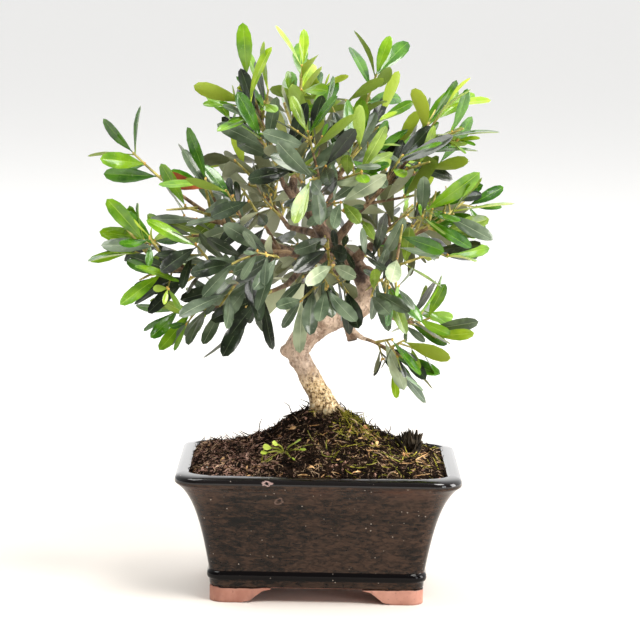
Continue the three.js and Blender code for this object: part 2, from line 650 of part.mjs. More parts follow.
// One leaf on a node: tried at turned angles until it fits, or left out.
function addLeaf(plant, own, grown, carrier, mark, node, base, way, roll, share) {
  const luck = (kind) => chance(own.seed, mark, node, kind);
  const outward = base.clone().sub(FOLIAGE_MIDDLE).normalize();
  const spreadX = (base.x - FOLIAGE_MIDDLE.x) / FOLIAGE_HALF_WIDTH;
  const spreadZ = (base.z - FOLIAGE_MIDDLE.z) / FOLIAGE_HALF_HEIGHT;
  const spread = Math.hypot(spreadX, Math.max(spreadZ, YOUNG_BELOW * spreadZ));
  const further = YOUNG_CHANCE * (luck(5) - 0.5) + YOUNG_ALONG * (share - YOUNG_ALONG_MIDDLE);
  const young = spread + further > YOUNG_FROM;
  const atTip = share === TIP_LEAF.share;
  const grownLength = LEAF_LENGTH * (LEAF_LEAST + LEAF_SPREAD * luck(1));
  const length = grownLength * (young ? YOUNG_SIZE : 1) * (atTip ? TIP_LEAF.size : 1);
  const width = length * LEAF_WIDTH_SHARE;
  const sideOpen = OPEN_AT_ROOT - OPEN_TO_TIP * share + OPEN_CHANCE * (luck(2) - 0.5);
  const open = THREE.MathUtils.degToRad(atTip ? TIP_LEAF.open : sideOpen);
  const lift = young ? YOUNG_LIFT * luck(6) : GROWN_LIFT - GROWN_DROOP * luck(6);
  const tilt = new THREE.Vector3(luck(7) - 0.5, luck(8) - 0.5, luck(9) - 0.5);
  const facing = base.y < BACK_FROM ? -FACE_AWAY : FACE_AWAY;
  for (let trial = 0; trial < LEAF_TRIALS; trial += 1) {
    const side = sideways(way, roll + swing(trial, LEAF_SWING) + LEAF_ROLL_CHANCE * (luck(3) - 0.5));
    const along = blend([way, Math.cos(open)], [side, Math.sin(open)], [UPWARD, lift]).normalize();
    const face = blend([outward, FACE_OUTWARD], [UPWARD, FACE_UPWARD], [tilt, FACE_CHANCE], [AWAY, facing]);
    face.addScaledVector(along, -face.dot(along));
    if (face.lengthSq() < FACE_LEAST) {
      continue;
    }
    face.normalize();
    const across = face.clone().cross(along);
    const middles = LEAF_MIDDLES.map((far) => step(base, along, far * length));
    if (grown.middles.some((one) => middles.some((other) => one.distanceTo(other) < LEAF_SPACING))) {
      continue;
    }
    const onLeaf = ([far, wide]) => blend([base, 1], [along, far * length], [across, wide * width / 2]);
    const grid = LEAF_GRID.map(onLeaf);
    if (!inSpace(plant.stems, own, grid, LEAF_MARGIN) || !clearOfLimbs(plant.limbs, grid, LEAF_CLEARANCE)) {
      continue;
    }
    const outline = LEAF_OUTLINE.map(onLeaf);
    if (leafCrosses(outline, grown, carrier)) {
      continue;
    }
    grown.leaves.push({ base, along, face, across, length, width });
    grown.outlines.push(outline);
    grown.middles.push(...middles);
    return;
  }
}

function addLeafPairs(plant, own, grown, mark, curve, length, spin) {
  const carrier = grown.lines.length - 1;
  const nodes = Math.max(2, Math.round(length / INTERNODE));
  for (let node = 1; node <= nodes; node += 1) {
    const share = node / nodes;
    const base = curve.getPoint(Math.min(share, 1 - LAST_PAIR_INSET / length));
    const way = curve.getTangent(share);
    for (const half of [0, 1]) {
      const roll = spin + node * Math.PI / 2 + half * Math.PI;
      addLeaf(plant, own, grown, carrier, mark, node * 2 + half, base, way, roll, share);
    }
  }
  addTipLeaf(plant, own, grown, carrier, mark, curve, spin);
}

function addTipLeaf(plant, own, grown, carrier, mark, curve, roll) {
  const way = curve.getTangent(1);
  const base = step(curve.getPoint(1), way, -TIP_LEAF_INSET);
  addLeaf(plant, own, grown, carrier, mark, TIP_LEAF.node, base, way, roll, TIP_LEAF.share);
}

// One side shoot: tried at turned angles and shorter until it fits; true when it has grown.
function addShoot(plant, own, grown, mark, base, way, roll, reach) {
  const longest = reach * (SHOOT_LEAST + SHOOT_SPREAD * chance(own.seed, mark, 2));
  const outward = base.clone().sub(FOLIAGE_MIDDLE).normalize();
  for (let trial = 0; trial < SHOOT_TRIALS; trial += 1) {
    const length = longest * (1 - SHOOT_SHORTER * trial);
    const side = sideways(way, roll + swing(trial, SHOOT_SWING));
    const first = blend([way, SHOOT_ALONG], [side, SHOOT_ASIDE]).normalize();
    const whole = blend([first, 1], [outward, SHOOT_OUTWARD], [UPWARD, SHOOT_UPWARD]).normalize();
    const curve = new THREE.LineCurve3(base, step(base, whole, length));
    const line = pointsFrom(curve, SHOOT_CLEAR_FROM, SHOOT_CLEAR_STEPS);
    if (!inSpace(plant.stems, own, line, SHOOT_MARGIN) || !clearOfLimbs(plant.limbs, line, SHOOT_CLEARANCE)) {
      continue;
    }
    const beyondRoot = line.slice(2);
    const near = (other) => beyondRoot.some((point) => distanceTo(other.segments, point) < SHOOT_SPACING);
    if (grown.shoots.some(near)) {
      continue;
    }
    if (cuts(line.slice(0, -1), line.slice(1), grown.outlines.flatMap(flatsOf))) {
      continue;
    }
    const outer = pointsFrom(curve, SHOOT_APART_FROM, SHOOT_APART_STEPS);
    grown.shoots.push({ curve, segments: segmentsOf(outer) });
    grown.lines.push(line);
    addLeafPairs(plant, own, grown, mark, curve, length, chance(own.seed, mark, 3) * Math.PI);
    return true;
  }
  return false;
}

function growMass(plant, own) {
  const grown = { lines: [own.line], shoots: [], leaves: [], outlines: [], middles: [] };
  const length = own.segments.reduce((sum, segment) => sum + segment.distance(), 0);
  const nodes = Math.max(3, Math.round(length / INTERNODE));
  const spin = chance(own.seed, 1, 1) * Math.PI;
  for (let node = 1; node <= nodes; node += 1) {
    const share = node / nodes;
    const base = pointAlong(own.joints, Math.min(share, 1 - LAST_PAIR_INSET / length));
    const way = own.curve.getTangent(share);
    for (const half of [0, 1]) {
      const mark = node * 2 + half;
      const roll = spin + node * Math.PI / 2 + half * Math.PI;
      const mayBranch = share < SHOOT_LAST && grown.shoots.length < own.shoots;
      const reach = own.shootLength * (SHOOT_AT_ROOT - SHOOT_TO_TIP * share);
      if (mayBranch && addShoot(plant, own, grown, mark, base, way, roll, reach)) {
        continue;
      }
      addLeaf(plant, own, grown, 0, mark, STEM_LEAF_NODE, base, way, roll, share);
    }
  }
  addTipLeaf(plant, own, grown, 0, TIP_LEAF.mark, own.curve, spin + TIP_LEAF.turn);
  return grown;
}

// A leaf as a flat body of eight faces: a root, a tip and two pairs of edge corners, one pair higher.
function leafSolid(leaf) {
  const corner = (far, side, height) => blend(
    [leaf.base, 1],
    [leaf.along, far],
    [leaf.across, side * leaf.width / 2],
    [leaf.face, height * LEAF_THICKNESS / 2],
  );
  const root = corner(-LEAF_SINK, 0, 0);
  const tip = corner(leaf.length, 0, 0);
  const nearLeft = corner(LEAF_NEAR * leaf.length, 1, 1);
  const nearRight = corner(LEAF_NEAR * leaf.length, -1, 1);
  const farLeft = corner(LEAF_FAR * leaf.length, LEAF_FAR_WIDTH, -1);
  const farRight = corner(LEAF_FAR * leaf.length, -LEAF_FAR_WIDTH, -1);
  const geometry = new THREE.OctahedronGeometry(1);
  const places = geometry.attributes.position;
  for (let i = 0; i < places.count; i += 1) {
    const [x, y, z] = [places.getX(i), places.getY(i), places.getZ(i)];
    let place = z > 0.5 ? nearRight : farLeft;
    if (Math.abs(x) > 0.5) {
      place = x > 0 ? nearLeft : farRight;
    }
    if (Math.abs(y) > 0.5) {
      place = y > 0 ? tip : root;
    }
    places.setXYZ(i, place.x, place.y, place.z);
  }
  return solidFrom(geometry);
}

function taper([start, end]) {
  return (share) => THREE.MathUtils.lerp(start, end, share);
}

function twigSolid(curve, radii, steps) {
  const way = curve.getPoint(1).sub(curve.getPoint(0)).normalize();
  return tube(curve, taper(radii), TWIG_SIDES, steps, crosswiseTo(way));
}

// A block on the end of the limb that carries a stem, reaching as far out as the clearance there.
function endBlock(carrier) {
  const geometry = new THREE.BoxGeometry(END_BLOCK_WIDE, END_BLOCK_WIDE, END_BLOCK_LONG);
  geometry.applyQuaternion(new THREE.Quaternion().setFromUnitVectors(UPWARD, carrier.endWay));
  const middle = step(carrier.end, carrier.endWay, SEAT - END_BLOCK_LONG / 2);
  geometry.translate(middle.x, middle.y, middle.z);
  return solidFrom(geometry);
}

function massSolid(own, grown) {
  const pieces = [twigSolid(own.curve, STEM_RADII, STEM_STEPS)];
  pieces.push(...grown.shoots.map((shoot) => twigSolid(shoot.curve, SHOOT_RADII, SHOOT_STEPS)));
  pieces.push(...grown.leaves.map(leafSolid));
  return largestBody(wasm.Manifold.union(pieces).subtract(endBlock(own.carrier)));
}

// The whole.

function makePiece(name, solid, paint) {
  const piece = new THREE.Mesh(geometryFrom(solid), new THREE.MeshStandardMaterial(PAINTS[paint]));
  piece.name = name;
  return piece;
}

const limbs = makeLimbs();
for (const limb of Object.values(limbs)) {
  limb.segments = segmentsOf(limb.line);
}
const plant = { limbs, stems: makeStems(limbs) };

const standing = new THREE.Group();
standing.name = 'standing';
standing.add(makePiece('pot', makePot(), 'glaze'));
for (const foot of makeFeet()) {
  standing.add(makePiece(foot.name, foot.solid, 'clay'));
}
standing.add(makePiece('soil', makeSoil(), 'soil'));
standing.add(makePiece('trunk', largestBody(trunkSolid(limbs.trunk, 0)), 'bark'));
for (const spec of BOUGHS) {
  standing.add(makePiece(spec.name, boughSolid(spec, limbs), 'bark'));
}
for (const own of plant.stems) {
  standing.add(makePiece(`foliage_${own.name}`, massSolid(own, growMass(plant, own)), 'leaf'));
}

const box = new THREE.Box3().setFromObject(standing);
const middle = box.getCenter(new THREE.Vector3());
standing.position.set(-middle.x, -middle.y, -box.min.z);

const bonsai = new THREE.Group();
bonsai.name = 'olive_bonsai';
bonsai.add(standing);
export default bonsai;
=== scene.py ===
"""Looks of an olive bonsai in a glazed pot.

Sizes are millimetres about the middle of the pot, with Z up and Y running away from the front, and are
turned into metres in the part's frame when a piece is made. Colours of three parts are as they show on
screen, 0 to 255.
"""

import math
from types import SimpleNamespace as Leaf

import bmesh
import bpy
import numpy as np
from mathutils import Euler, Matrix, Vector, noise
from mathutils.bvhtree import BVHTree
from mathutils.kdtree import KDTree


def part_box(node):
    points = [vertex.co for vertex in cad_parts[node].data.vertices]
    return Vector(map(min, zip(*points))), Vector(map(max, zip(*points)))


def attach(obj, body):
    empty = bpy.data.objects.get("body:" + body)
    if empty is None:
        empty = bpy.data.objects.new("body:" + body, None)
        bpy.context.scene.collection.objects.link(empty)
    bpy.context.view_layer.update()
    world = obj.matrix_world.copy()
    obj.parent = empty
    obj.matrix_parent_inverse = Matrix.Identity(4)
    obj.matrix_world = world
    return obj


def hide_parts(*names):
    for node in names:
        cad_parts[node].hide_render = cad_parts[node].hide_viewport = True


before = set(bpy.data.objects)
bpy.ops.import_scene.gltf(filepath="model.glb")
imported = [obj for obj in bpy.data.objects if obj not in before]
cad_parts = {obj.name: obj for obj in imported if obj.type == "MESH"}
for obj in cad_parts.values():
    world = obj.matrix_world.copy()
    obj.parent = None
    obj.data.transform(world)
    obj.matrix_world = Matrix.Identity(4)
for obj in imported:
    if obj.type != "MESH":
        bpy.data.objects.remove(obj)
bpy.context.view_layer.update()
pot_low, pot_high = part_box("pot")
POT_MIDDLE = np.array([(pot_low.x + pot_high.x) / 2, (pot_low.y + pot_high.y) / 2, 0.0])
MM = 0.001
UP = np.array([0.0, 0.0, 1.0])


# Small sums shared by all pieces.

def vec(*parts):
    return np.array(parts, float)


def unit(way):
    return way / math.sqrt(float(way @ way))


def chance(*keys):
    """A number between 0 and 1 that is always the same for the same place in the plant."""
    mix = sum(key * weight for key, weight in zip(keys, (12.9898, 78.233, 37.719, 53.117)))
    wave = math.sin(mix) * 43758.5453
    return wave - math.floor(wave)


def in_frame(points):
    return np.asarray(points, float) * MM + POT_MIDDLE


def crosswise(way):
    """Two directions square to a way and to each other."""
    level = vec(1, 0, 0) if abs(way[2]) > 0.75 else UP
    side = unit(np.cross(way, level))
    return side, np.cross(way, side)


def aside(way, turn):
    """The direction square to a way, turned about it."""
    across, over = crosswise(way)
    return across * math.cos(turn) + over * math.sin(turn)


# Materials.

def shade(colour):
    """A colour of three parts as a socket takes it; anything else stays as it is."""
    if not isinstance(colour, tuple) or len(colour) != 3:
        return colour
    parts = [part / 255 for part in colour]
    return (*[part / 12.92 if part <= 0.04045 else ((part + 0.055) / 1.055) ** 2.4 for part in parts], 1.0)


class Amount:
    """A number that changes over a surface; sums with it become Math nodes."""

    def __init__(self, nodes, socket):
        self.nodes = nodes
        self.socket = socket

    def sum(self, operation, first, second):
        made = self.nodes.node("ShaderNodeMath", {"operation": operation}, {0: first, 1: second})
        return Amount(self.nodes, made.outputs[0])

    def __add__(self, other):
        return self.sum("ADD", self, other)

    def __mul__(self, other):
        return self.sum("MULTIPLY", self, other)

    def __sub__(self, other):
        return self.sum("SUBTRACT", self, other)

    def __rsub__(self, other):
        return self.sum("SUBTRACT", other, self)

    __radd__ = __add__
    __rmul__ = __mul__

    def fade(self, low, high):
        """A soft step from 0 at the low mark to 1 at the high one, which may lie below it."""
        sockets = {"Value": self, "From Min": low, "From Max": high}
        made = self.nodes.node("ShaderNodeMapRange", {"interpolation_type": "SMOOTHSTEP"}, sockets)
        return Amount(self.nodes, made.outputs[0])

    def mix(self, first, second):
        """A colour that runs from the first to the second."""
        sockets = {0: self, 6: shade(first), 7: shade(second)}
        return self.nodes.node("ShaderNodeMix", {"data_type": "RGBA"}, sockets).outputs[2]


def coated(colour, *coats):
    """A colour with others laid over it in turn, each by its share of the surface."""
    for share, coat in coats:
        colour = share.mix(colour, coat)
    return colour


class Nodes:
    """A node tree that is filled from the inputs of its shader."""

    def __init__(self, owner, shader, output):
        owner.use_nodes = True
        self.tree = owner.node_tree
        self.tree.nodes.clear()
        self.shader = self.node(shader)
        self.node(output, None, {0: self.shader.outputs[0]})
        self.texture_places = self.node("ShaderNodeTexCoord")

    def node(self, kind, settings=None, sockets=None):
        made = self.tree.nodes.new(kind)
        for name, value in (settings or {}).items():
            setattr(made, name, value)
        self.fill(made, sockets or {})
        return made

    def fill(self, node, sockets):
        """Sets a node's sockets, by link or by value."""
        for name, value in sockets.items():
            if isinstance(value, Amount):
                value = value.socket
            if isinstance(value, bpy.types.NodeSocket):
                self.tree.links.new(value, node.inputs[name])
            else:
                node.inputs[name].default_value = value

    def part(self, vector, axis):
        return Amount(self, self.node("ShaderNodeSeparateXYZ", None, {0: vector}).outputs[axis])

    def wear(self, **sockets):
        """Sets the shader's own sockets."""
        self.fill(self.shader, {name.replace("_", " "): value for name, value in sockets.items()})


class Finish(Nodes):
    """A material on the piece's own coordinates."""

    def __init__(self, name):
        self.material = bpy.data.materials.new(name)
        super().__init__(self.material, "ShaderNodeBsdfPrincipled", "ShaderNodeOutputMaterial")
        self.places = self.texture_places.outputs["Object"]

    def pattern(self, kind, scale, stretch, **sockets):
        laid = self.node("ShaderNodeMapping", None, {"Vector": self.places, "Scale": stretch})
        sockets.update(Vector=laid.outputs[0], Scale=scale)
        return Amount(self, self.node(kind, None, sockets).outputs[0])

    def grain(self, scale, detail=3.0, rough=0.55, stretch=(1, 1, 1), twist=0.0):
        return self.pattern("ShaderNodeTexNoise", scale, stretch, Detail=detail, Roughness=rough,
                            Distortion=twist)

    def cells(self, scale, stretch=(1, 1, 1)):
        return self.pattern("ShaderNodeTexVoronoi", scale, stretch)

    def along(self, axis):
        """Distance in millimetres along an axis of the part's frame."""
        return self.part(self.places, axis) * 1000

    def near(self, place):
        """Distance in millimetres from a place."""
        sockets = {0: self.places, 1: tuple(in_frame(place))}
        made = self.node("ShaderNodeVectorMath", {"operation": "DISTANCE"}, sockets)
        return Amount(self, made.outputs["Value"]) * 1000

    def relief(self, height, strength, deep):
        sockets = {"Height": height, "Strength": strength, "Distance": deep * MM}
        return self.node("ShaderNodeBump", None, sockets).outputs[0]

    def done(self, **sockets):
        self.wear(**sockets)
        return self.material


def glaze_finish():
    """Thick dark glaze with level waves, thin and reddish under the rim, down to the pot's lower edge."""
    finish = Finish("dark_glaze")
    across = finish.along(0)
    height = finish.along(2)
    wave = finish.grain(38, 7.0, 0.68, (1, 1, 6.0), 1.6)
    fine = finish.grain(230, 4.0, 0.64, (1, 1, 2.4), 0.9)
    cloud = finish.grain(15, 2.0)
    lines = finish.grain(420, 2.0, 0.5, (0.02, 0.02, 1)) * height.fade(46, 60)
    mottle = (0.3 * wave + 0.5 * fine + 0.2 * cloud + 0.08 * lines).fade(0.41, 0.63)
    dark_wave = wave.fade(0.47, 0.40) * fine.fade(0.4, 0.55)
    thin = height.fade(57, 62) * height.fade(66, 64) * cloud.fade(0.42, 0.62)
    lip = height.fade(65.4, 66.5)
    bead = height.fade(11.6, 12.3) * height.fade(17.3, 16.6)
    speck = finish.cells(250).fade(0.11, 0.06) * finish.grain(60, 1.0).fade(0.40, 0.56)
    front = finish.along(1).fade(-40, -46)
    ragged = 3.4 * (finish.grain(300, 3.0, 0.7) - 0.5)

    def worn_ring(x, z, wide, tall):
        beside = (across - in_frame((x, 0, 0))[0] * 1000) * (1 / wide)
        above = (height - z) * (1 / tall)
        far = beside * beside + above * above + ragged
        return far.fade(1.1, 0.8) * far.fade(0.05, 0.5) * front

    chip = worn_ring(-26.4, 67.4, 2.9, 1.5)
    scuff = worn_ring(-20.2, 56.6, 2.3, 2.2)
    bare = height.fade(8.35, 8.15)
    clay = finish.grain(120, 3.0).mix((158, 106, 90), (192, 140, 122))
    body = mottle.mix((5, 3, 2), (64, 46, 35))
    colour = coated(body, (dark_wave * 0.6, (15, 10, 8)), (thin * 0.3, (84, 48, 32)), (lip, (9, 5, 5)),
                    (bead, (6, 4, 5)), (speck * 0.6, (190, 176, 162)), (chip * 0.6, (186, 156, 150)),
                    (scuff * 0.35, (150, 122, 110)), (bare, clay))
    roughness = 0.04 + 0.16 * mottle * (1 - lip) * (1 - bead) + 0.6 * bare + 0.3 * chip
    waves = (wave + 0.4 * fine + 0.5 * lines) * (1 - 0.95 * lip) * (1 - 0.8 * bead) + 0.25 * cloud
    return finish.done(Base_Color=colour, Roughness=roughness, Specular_IOR_Level=0.1, Coat_Roughness=0.04,
                       Normal=finish.relief(waves - 0.5 * speck, 0.28, 0.5),
                       Coat_Weight=0.2 + 0.5 * lip - 0.1 * bead)


def clay_finish():
    """Unglazed fired clay, pinkish, with fine grit and the glaze run a little over its top edge."""
    finish = Finish("bare_clay")
    height = finish.along(2)
    patch = finish.grain(55, 3.0)
    grit = finish.grain(520, 2.0)
    streak = finish.grain(150, 4.0, 0.65, (1, 1, 0.22))
    run = (height + 2.4 * (finish.grain(90, 2.0) - 0.5)).fade(7.5, 7.9)
    body = patch.fade(0.35, 0.7).mix((154, 104, 88), (192, 142, 124))
    colour = coated(body, (streak.fade(0.52, 0.72) * 0.5, (118, 84, 76)),
                    (grit.fade(0.6, 0.75) * 0.5, (112, 76, 68)), (height.fade(1.4, 0.2) * 0.4, (104, 72, 62)),
                    (run, (20, 13, 10)))
    return finish.done(Base_Color=colour, Roughness=0.82 - 0.6 * run, Specular_IOR_Level=0.3,
                       Normal=finish.relief(patch + 0.5 * grit, 0.3, 0.4))


def soil_finish(name, dark, pale, scale, roughness=0.92):
    finish = Finish(name)
    patch = finish.grain(scale, 4.0, 0.65)
    grit = finish.grain(scale * 6, 2.0)
    return finish.done(Base_Color=patch.fade(0.32, 0.7).mix(dark, pale), Roughness=roughness,
                       Normal=finish.relief(patch + 0.6 * grit, 0.6, 0.6), Specular_IOR_Level=0.12)


def bark_finish():
    """Pale beige bark, golden and crackled low down, browner on the boughs and darker there as painted shade
    of the crown;
    with a hollow painted as dark shade, and pale crumbs and flecks that are partly painted highlights.
    """
    finish = Finish("olive_bark")
    height = finish.along(2)
    cloud = finish.grain(42, 3.0)
    flake = finish.grain(210, 5.0, 0.65, (1, 1, 0.6))
    pitting = finish.grain(700, 3.0, 0.6, (1, 1, 0.8))
    seams = pitting.fade(0.46, 0.39)
    # Pale crumbs low down and pale flecks higher up: partly the bark's own pale flakes, partly painted
    # highlights.
    pale_crumb_and_glint = pitting.fade(0.53, 0.62)
    pale_fleck_and_glint = finish.grain(340, 3.0, 0.6).fade(0.54, 0.68)
    dots = finish.cells(300, (1, 1, 0.75)).fade(0.2, 0.1) * flake.fade(0.48, 0.58)
    crack = finish.grain(75, 4.0, 0.6, (1, 1, 0.35), 1.4).fade(0.37, 0.33)

    def spot(place, uneven, edge, core):
        return (finish.near(place) + uneven * (flake - 0.5)).fade(edge, core)

    # Painted shade: a dark patch where the trunk has a hollow, which the skin doesn't dig.
    hollow_shade = spot((19.2, -3, 169), 7, 6.5, 3.5)
    stub = spot((16.8, -3, 135.5), 3, 7.0, 4.5)
    cut_end = finish.near((17.3, -3.2, 133.6)).fade(3.6, 2.4)
    # A darker brown patch on the left of the trunk's foot.
    dark_left_foot = spot((-8, -1, 102), 6, 9.5, 3.5)
    wet = (height + 4 * (flake - 0.5)).fade(100.5, 97.4)
    downward = (height + 20 * (cloud - 0.5)).fade(122, 108)
    # Share of the boughs' colour: browner bark, and darker as painted shade of the crown.
    bough_brown_and_shade = (height + 14 * (cloud - 0.5)).fade(152, 170)
    middle = (0.5 * cloud + 0.5 * flake).fade(0.36, 0.62).mix((152, 124, 104), (220, 195, 173))
    middle = coated(middle, (seams * 0.35, (128, 98, 80)), (pale_fleck_and_glint * 0.5, (238, 218, 200)))
    low = flake.fade(0.35, 0.64).mix((198, 160, 108), (246, 216, 166))
    low = coated(low, (seams * 0.9, (88, 60, 36)), (pale_crumb_and_glint * 0.8, (255, 240, 206)))
    # Bough colour: browner bark, and darker as painted shade of the crown over them.
    high = flake.fade(0.35, 0.66).mix((64, 49, 38), (138, 112, 90))
    colour = coated(middle, (downward, low), (bough_brown_and_shade, high), (dots * 0.7, (92, 66, 48)),
                    (crack * 0.6, (110, 80, 66)), (hollow_shade * 0.85, (44, 28, 24)), (stub * 0.75, (112, 84, 60)),
                    (cut_end, (52, 42, 36)), (dark_left_foot * 0.7, (96, 70, 46)), (wet * 0.55, (92, 78, 44)))
    relief = flake + 0.4 * cloud - 0.8 * dots - 0.5 * crack - 0.6 * seams + 0.4 * pale_fleck_and_glint
    return finish.done(Base_Color=colour, Roughness=0.6 + 0.2 * seams, Specular_IOR_Level=0.35,
                       Normal=finish.relief(relief, 0.9, 1.2))


def twig_finish(name, dark, pale, roughness):
    finish = Finish(name)
    patch = finish.grain(240, 3.0)
    return finish.done(Base_Color=patch.fade(0.35, 0.68).mix(dark, pale), Roughness=roughness,
                       Normal=finish.relief(patch, 0.4, 0.3), Specular_IOR_Level=0.35)


def leaf_finish(name, dark, pale, roughness, sheen=0.4, gloss=0.0):
    finish = Finish(name)
    patch = finish.grain(95, 2.0)
    fine = finish.grain(700, 2.0)
    waves = finish.grain(300, 2.0)
    colour = coated(patch.fade(0.32, 0.68).mix(dark, pale), (fine.fade(0.62, 0.8) * 0.18, (196, 206, 170)))
    return finish.done(Base_Color=colour, Roughness=roughness + 0.1 * patch, Specular_IOR_Level=sheen,
                       Normal=finish.relief(0.5 * fine + waves + 0.8 * patch, 0.45, 0.55), Coat_Weight=gloss,
                       Coat_Roughness=0.1)


# Making pieces.

def in_scene(name, data):
    made = bpy.data.objects.new(name, data)
    bpy.context.scene.collection.objects.link(made)
    return made


def settle(name, mesh, materials, nodes=()):
    """Puts a mesh in the scene as a piece that rides with the part."""
    for material in materials:
        mesh.materials.append(material)
    piece = in_scene(name, mesh)
    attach(piece, "root")
    if nodes:
        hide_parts(*nodes)


def smooth(mesh, degrees):
    mesh.polygons.foreach_set("use_smooth", [True] * len(mesh.polygons))
    mesh.set_sharp_from_angle(angle=math.radians(degrees))


def mesh_of(bm, name, degrees=0):
    bmesh.ops.recalc_face_normals(bm, faces=bm.faces)
    mesh = bpy.data.meshes.new(name)
    bm.to_mesh(mesh)
    bm.free()
    if degrees:
        smooth(mesh, degrees)
    return mesh


def raise_rings(bm, loop, rings, set_ring):
    """Builds a closed skin from a first loop of vertices, ring by ring, and moves it into the frame."""
    set_ring(loop, rings[0])
    for ring in rings[1:]:
        edges = [bm.edges.get((loop[i - 1], loop[i])) for i in range(len(loop))]
        made = bmesh.ops.extrude_edge_only(bm, edges=edges)["geom"]
        fresh = {item for item in made if isinstance(item, bmesh.types.BMVert)}
        loop = [next(edge.other_vert(vert) for edge in vert.link_edges if edge.other_vert(vert) in fresh)
                for vert in loop]
        set_ring(loop, ring)
    bm.faces.new(loop)
    for vert in bm.verts:
        vert.co = Vector(in_frame(vert.co))


class Heap:
    """Many small shapes gathered into one mesh."""

    def __init__(self):
        self.points = []
        self.corners = []
        self.kinds = []
        self.count = 0

    def add(self, points, faces, kinds=None):
        self.points.append(np.asarray(points, float))
        self.corners.extend([tuple(self.count + corner for corner in face) for face in faces])
        self.kinds.extend(kinds or [0] * len(faces))
        self.count += len(points)

    def tube(self, line, radii, sides):
        """A closed tapering tube along a line of points."""
        line = np.asarray(line, float)
        ways = np.gradient(line, axis=0)
        side = crosswise(unit(ways[0]))[0]
        rings = []
        turns = np.arange(sides) * 2 * math.pi / sides
        for point, way, radius in zip(line, ways, radii):
            way = unit(way)
            side = unit(side - way * float(side @ way))
            over = np.cross(way, side)
            rings.append(point + radius * (np.outer(np.cos(turns), side) + np.outer(np.sin(turns), over)))
        last = (len(line) - 1) * sides
        faces = []
        for low in range(0, last, sides):
            for turn in range(sides):
                after = (turn + 1) % sides
                faces.append((low + turn, low + after, low + sides + after, low + sides + turn))
        faces.append(tuple(reversed(range(sides))))
        faces.append(tuple(range(last, last + sides)))
        self.add(np.concatenate(rings), faces)

    def settle(self, name, materials, slot, nodes=(), degrees=60):
        """Makes the heap one piece, smooth up to an angle between its faces."""
        mesh = bpy.data.meshes.new(name)
        mesh.from_pydata(in_frame(np.concatenate(self.points)).tolist(), [], self.corners)
        mesh.polygons.foreach_set("material_index", self.kinds)
        if degrees:
            smooth(mesh, degrees)
        settle(name, mesh, materials, nodes)


# Pot.

HALF_DEPTH_LESS = 15
BASE_HALF_WIDTH = 56.3
POT_UNDERSIDE = 8
POT_FLOOR = 15
WALL_THICKNESS = 8
BEAD_MIDDLE = 14.4
BASE_CORNER = 8
RIM_CORNER = 15
INNER_CORNER = 9
WALL_MARKS = [(56.8, 17.2), (60, 34), (64, 56.5), (74.5, 64.6)]
WALL_STEPS = 26
LIP = [(74.85, 65.2), (75, 66.2), (74.95, 67.1), (74.7, 68), (74.2, 68.75), (73.3, 69.3), (72, 69.65),
       (70.4, 69.9), (69, 70)]
MOUTH = [(67.9, 69.85), (67.1, 69.4), (66.6, 68.6)]
FLOOR_HALF_WIDTH = 47.9


def wall_curve():
    marks = np.array(WALL_MARKS, float)
    shares = np.linspace(0, 1, WALL_STEPS + 1)[:, None]
    rest = 1 - shares
    return (rest ** 3 * marks[0] + 3 * rest ** 2 * shares * marks[1]
            + 3 * rest * shares ** 2 * marks[2] + shares ** 3 * marks[3])


def pot_profile():
    """Half width, height and corner radius from the middle of the underside, up outside and down inside."""
    base = BASE_HALF_WIDTH
    foot = [(base - 1.1, POT_UNDERSIDE), (base - 0.3, POT_UNDERSIDE + 0.4), (base + 0.1, 9.4),
            (base + 0.3, 11.6)]
    for turn in np.linspace(-75, 75, 9):
        swell = math.radians(turn)
        foot.append((base + 0.3 + 1.25 * math.cos(swell), BEAD_MIDDLE + 2.4 * math.sin(swell)))
    rings = [(half_width, height, BASE_CORNER) for half_width, height in foot]
    wall = wall_curve()
    climb = wall[-1][1] - wall[0][1]
    for half_width, height in wall:
        rise = (height - wall[0][1]) / climb
        rings.append((half_width, height, BASE_CORNER + (RIM_CORNER - BASE_CORNER) * rise))
    rings += [(half_width, height, RIM_CORNER) for half_width, height in LIP]
    inside = [(half_width - WALL_THICKNESS, height) for half_width, height in wall[::-3]]
    inside = MOUTH + inside + [(FLOOR_HALF_WIDTH, POT_FLOOR)]
    return rings + [(half_width, height, INNER_CORNER) for half_width, height in inside]


def make_pot():
    bm = bmesh.new()
    half_width = BASE_HALF_WIDTH
    half_depth = BASE_HALF_WIDTH - HALF_DEPTH_LESS
    corners = ((-1, -1), (1, -1), (1, 1), (-1, 1))
    bm.faces.new([bm.verts.new((x * half_width, y * half_depth, 0)) for x, y in corners])
    bmesh.ops.bevel(bm, geom=bm.verts[:], offset=BASE_CORNER, segments=11, profile=0.5, affect="VERTICES",
                    material=-1)
    ways = []
    loop = bm.faces[:][0].verts[:]
    for vert in loop:
        side = Vector((math.copysign(1, vert.co.x), math.copysign(1, vert.co.y), 0))
        middle = Vector((side.x * (half_width - BASE_CORNER), side.y * (half_depth - BASE_CORNER), 0))
        ways.append((side, (vert.co - middle) / BASE_CORNER))

    def set_ring(verts, ring):
        wide, height, corner = ring
        deep = wide - HALF_DEPTH_LESS
        for vert, (side, way) in zip(verts, ways):
            vert.co = Vector((side.x * (wide - corner), side.y * (deep - corner), height)) + way * corner

    raise_rings(bm, loop, pot_profile(), set_ring)
    settle("pot_glazed", mesh_of(bm, "pot_glazed", 40), [glaze_finish()], ["pot"])


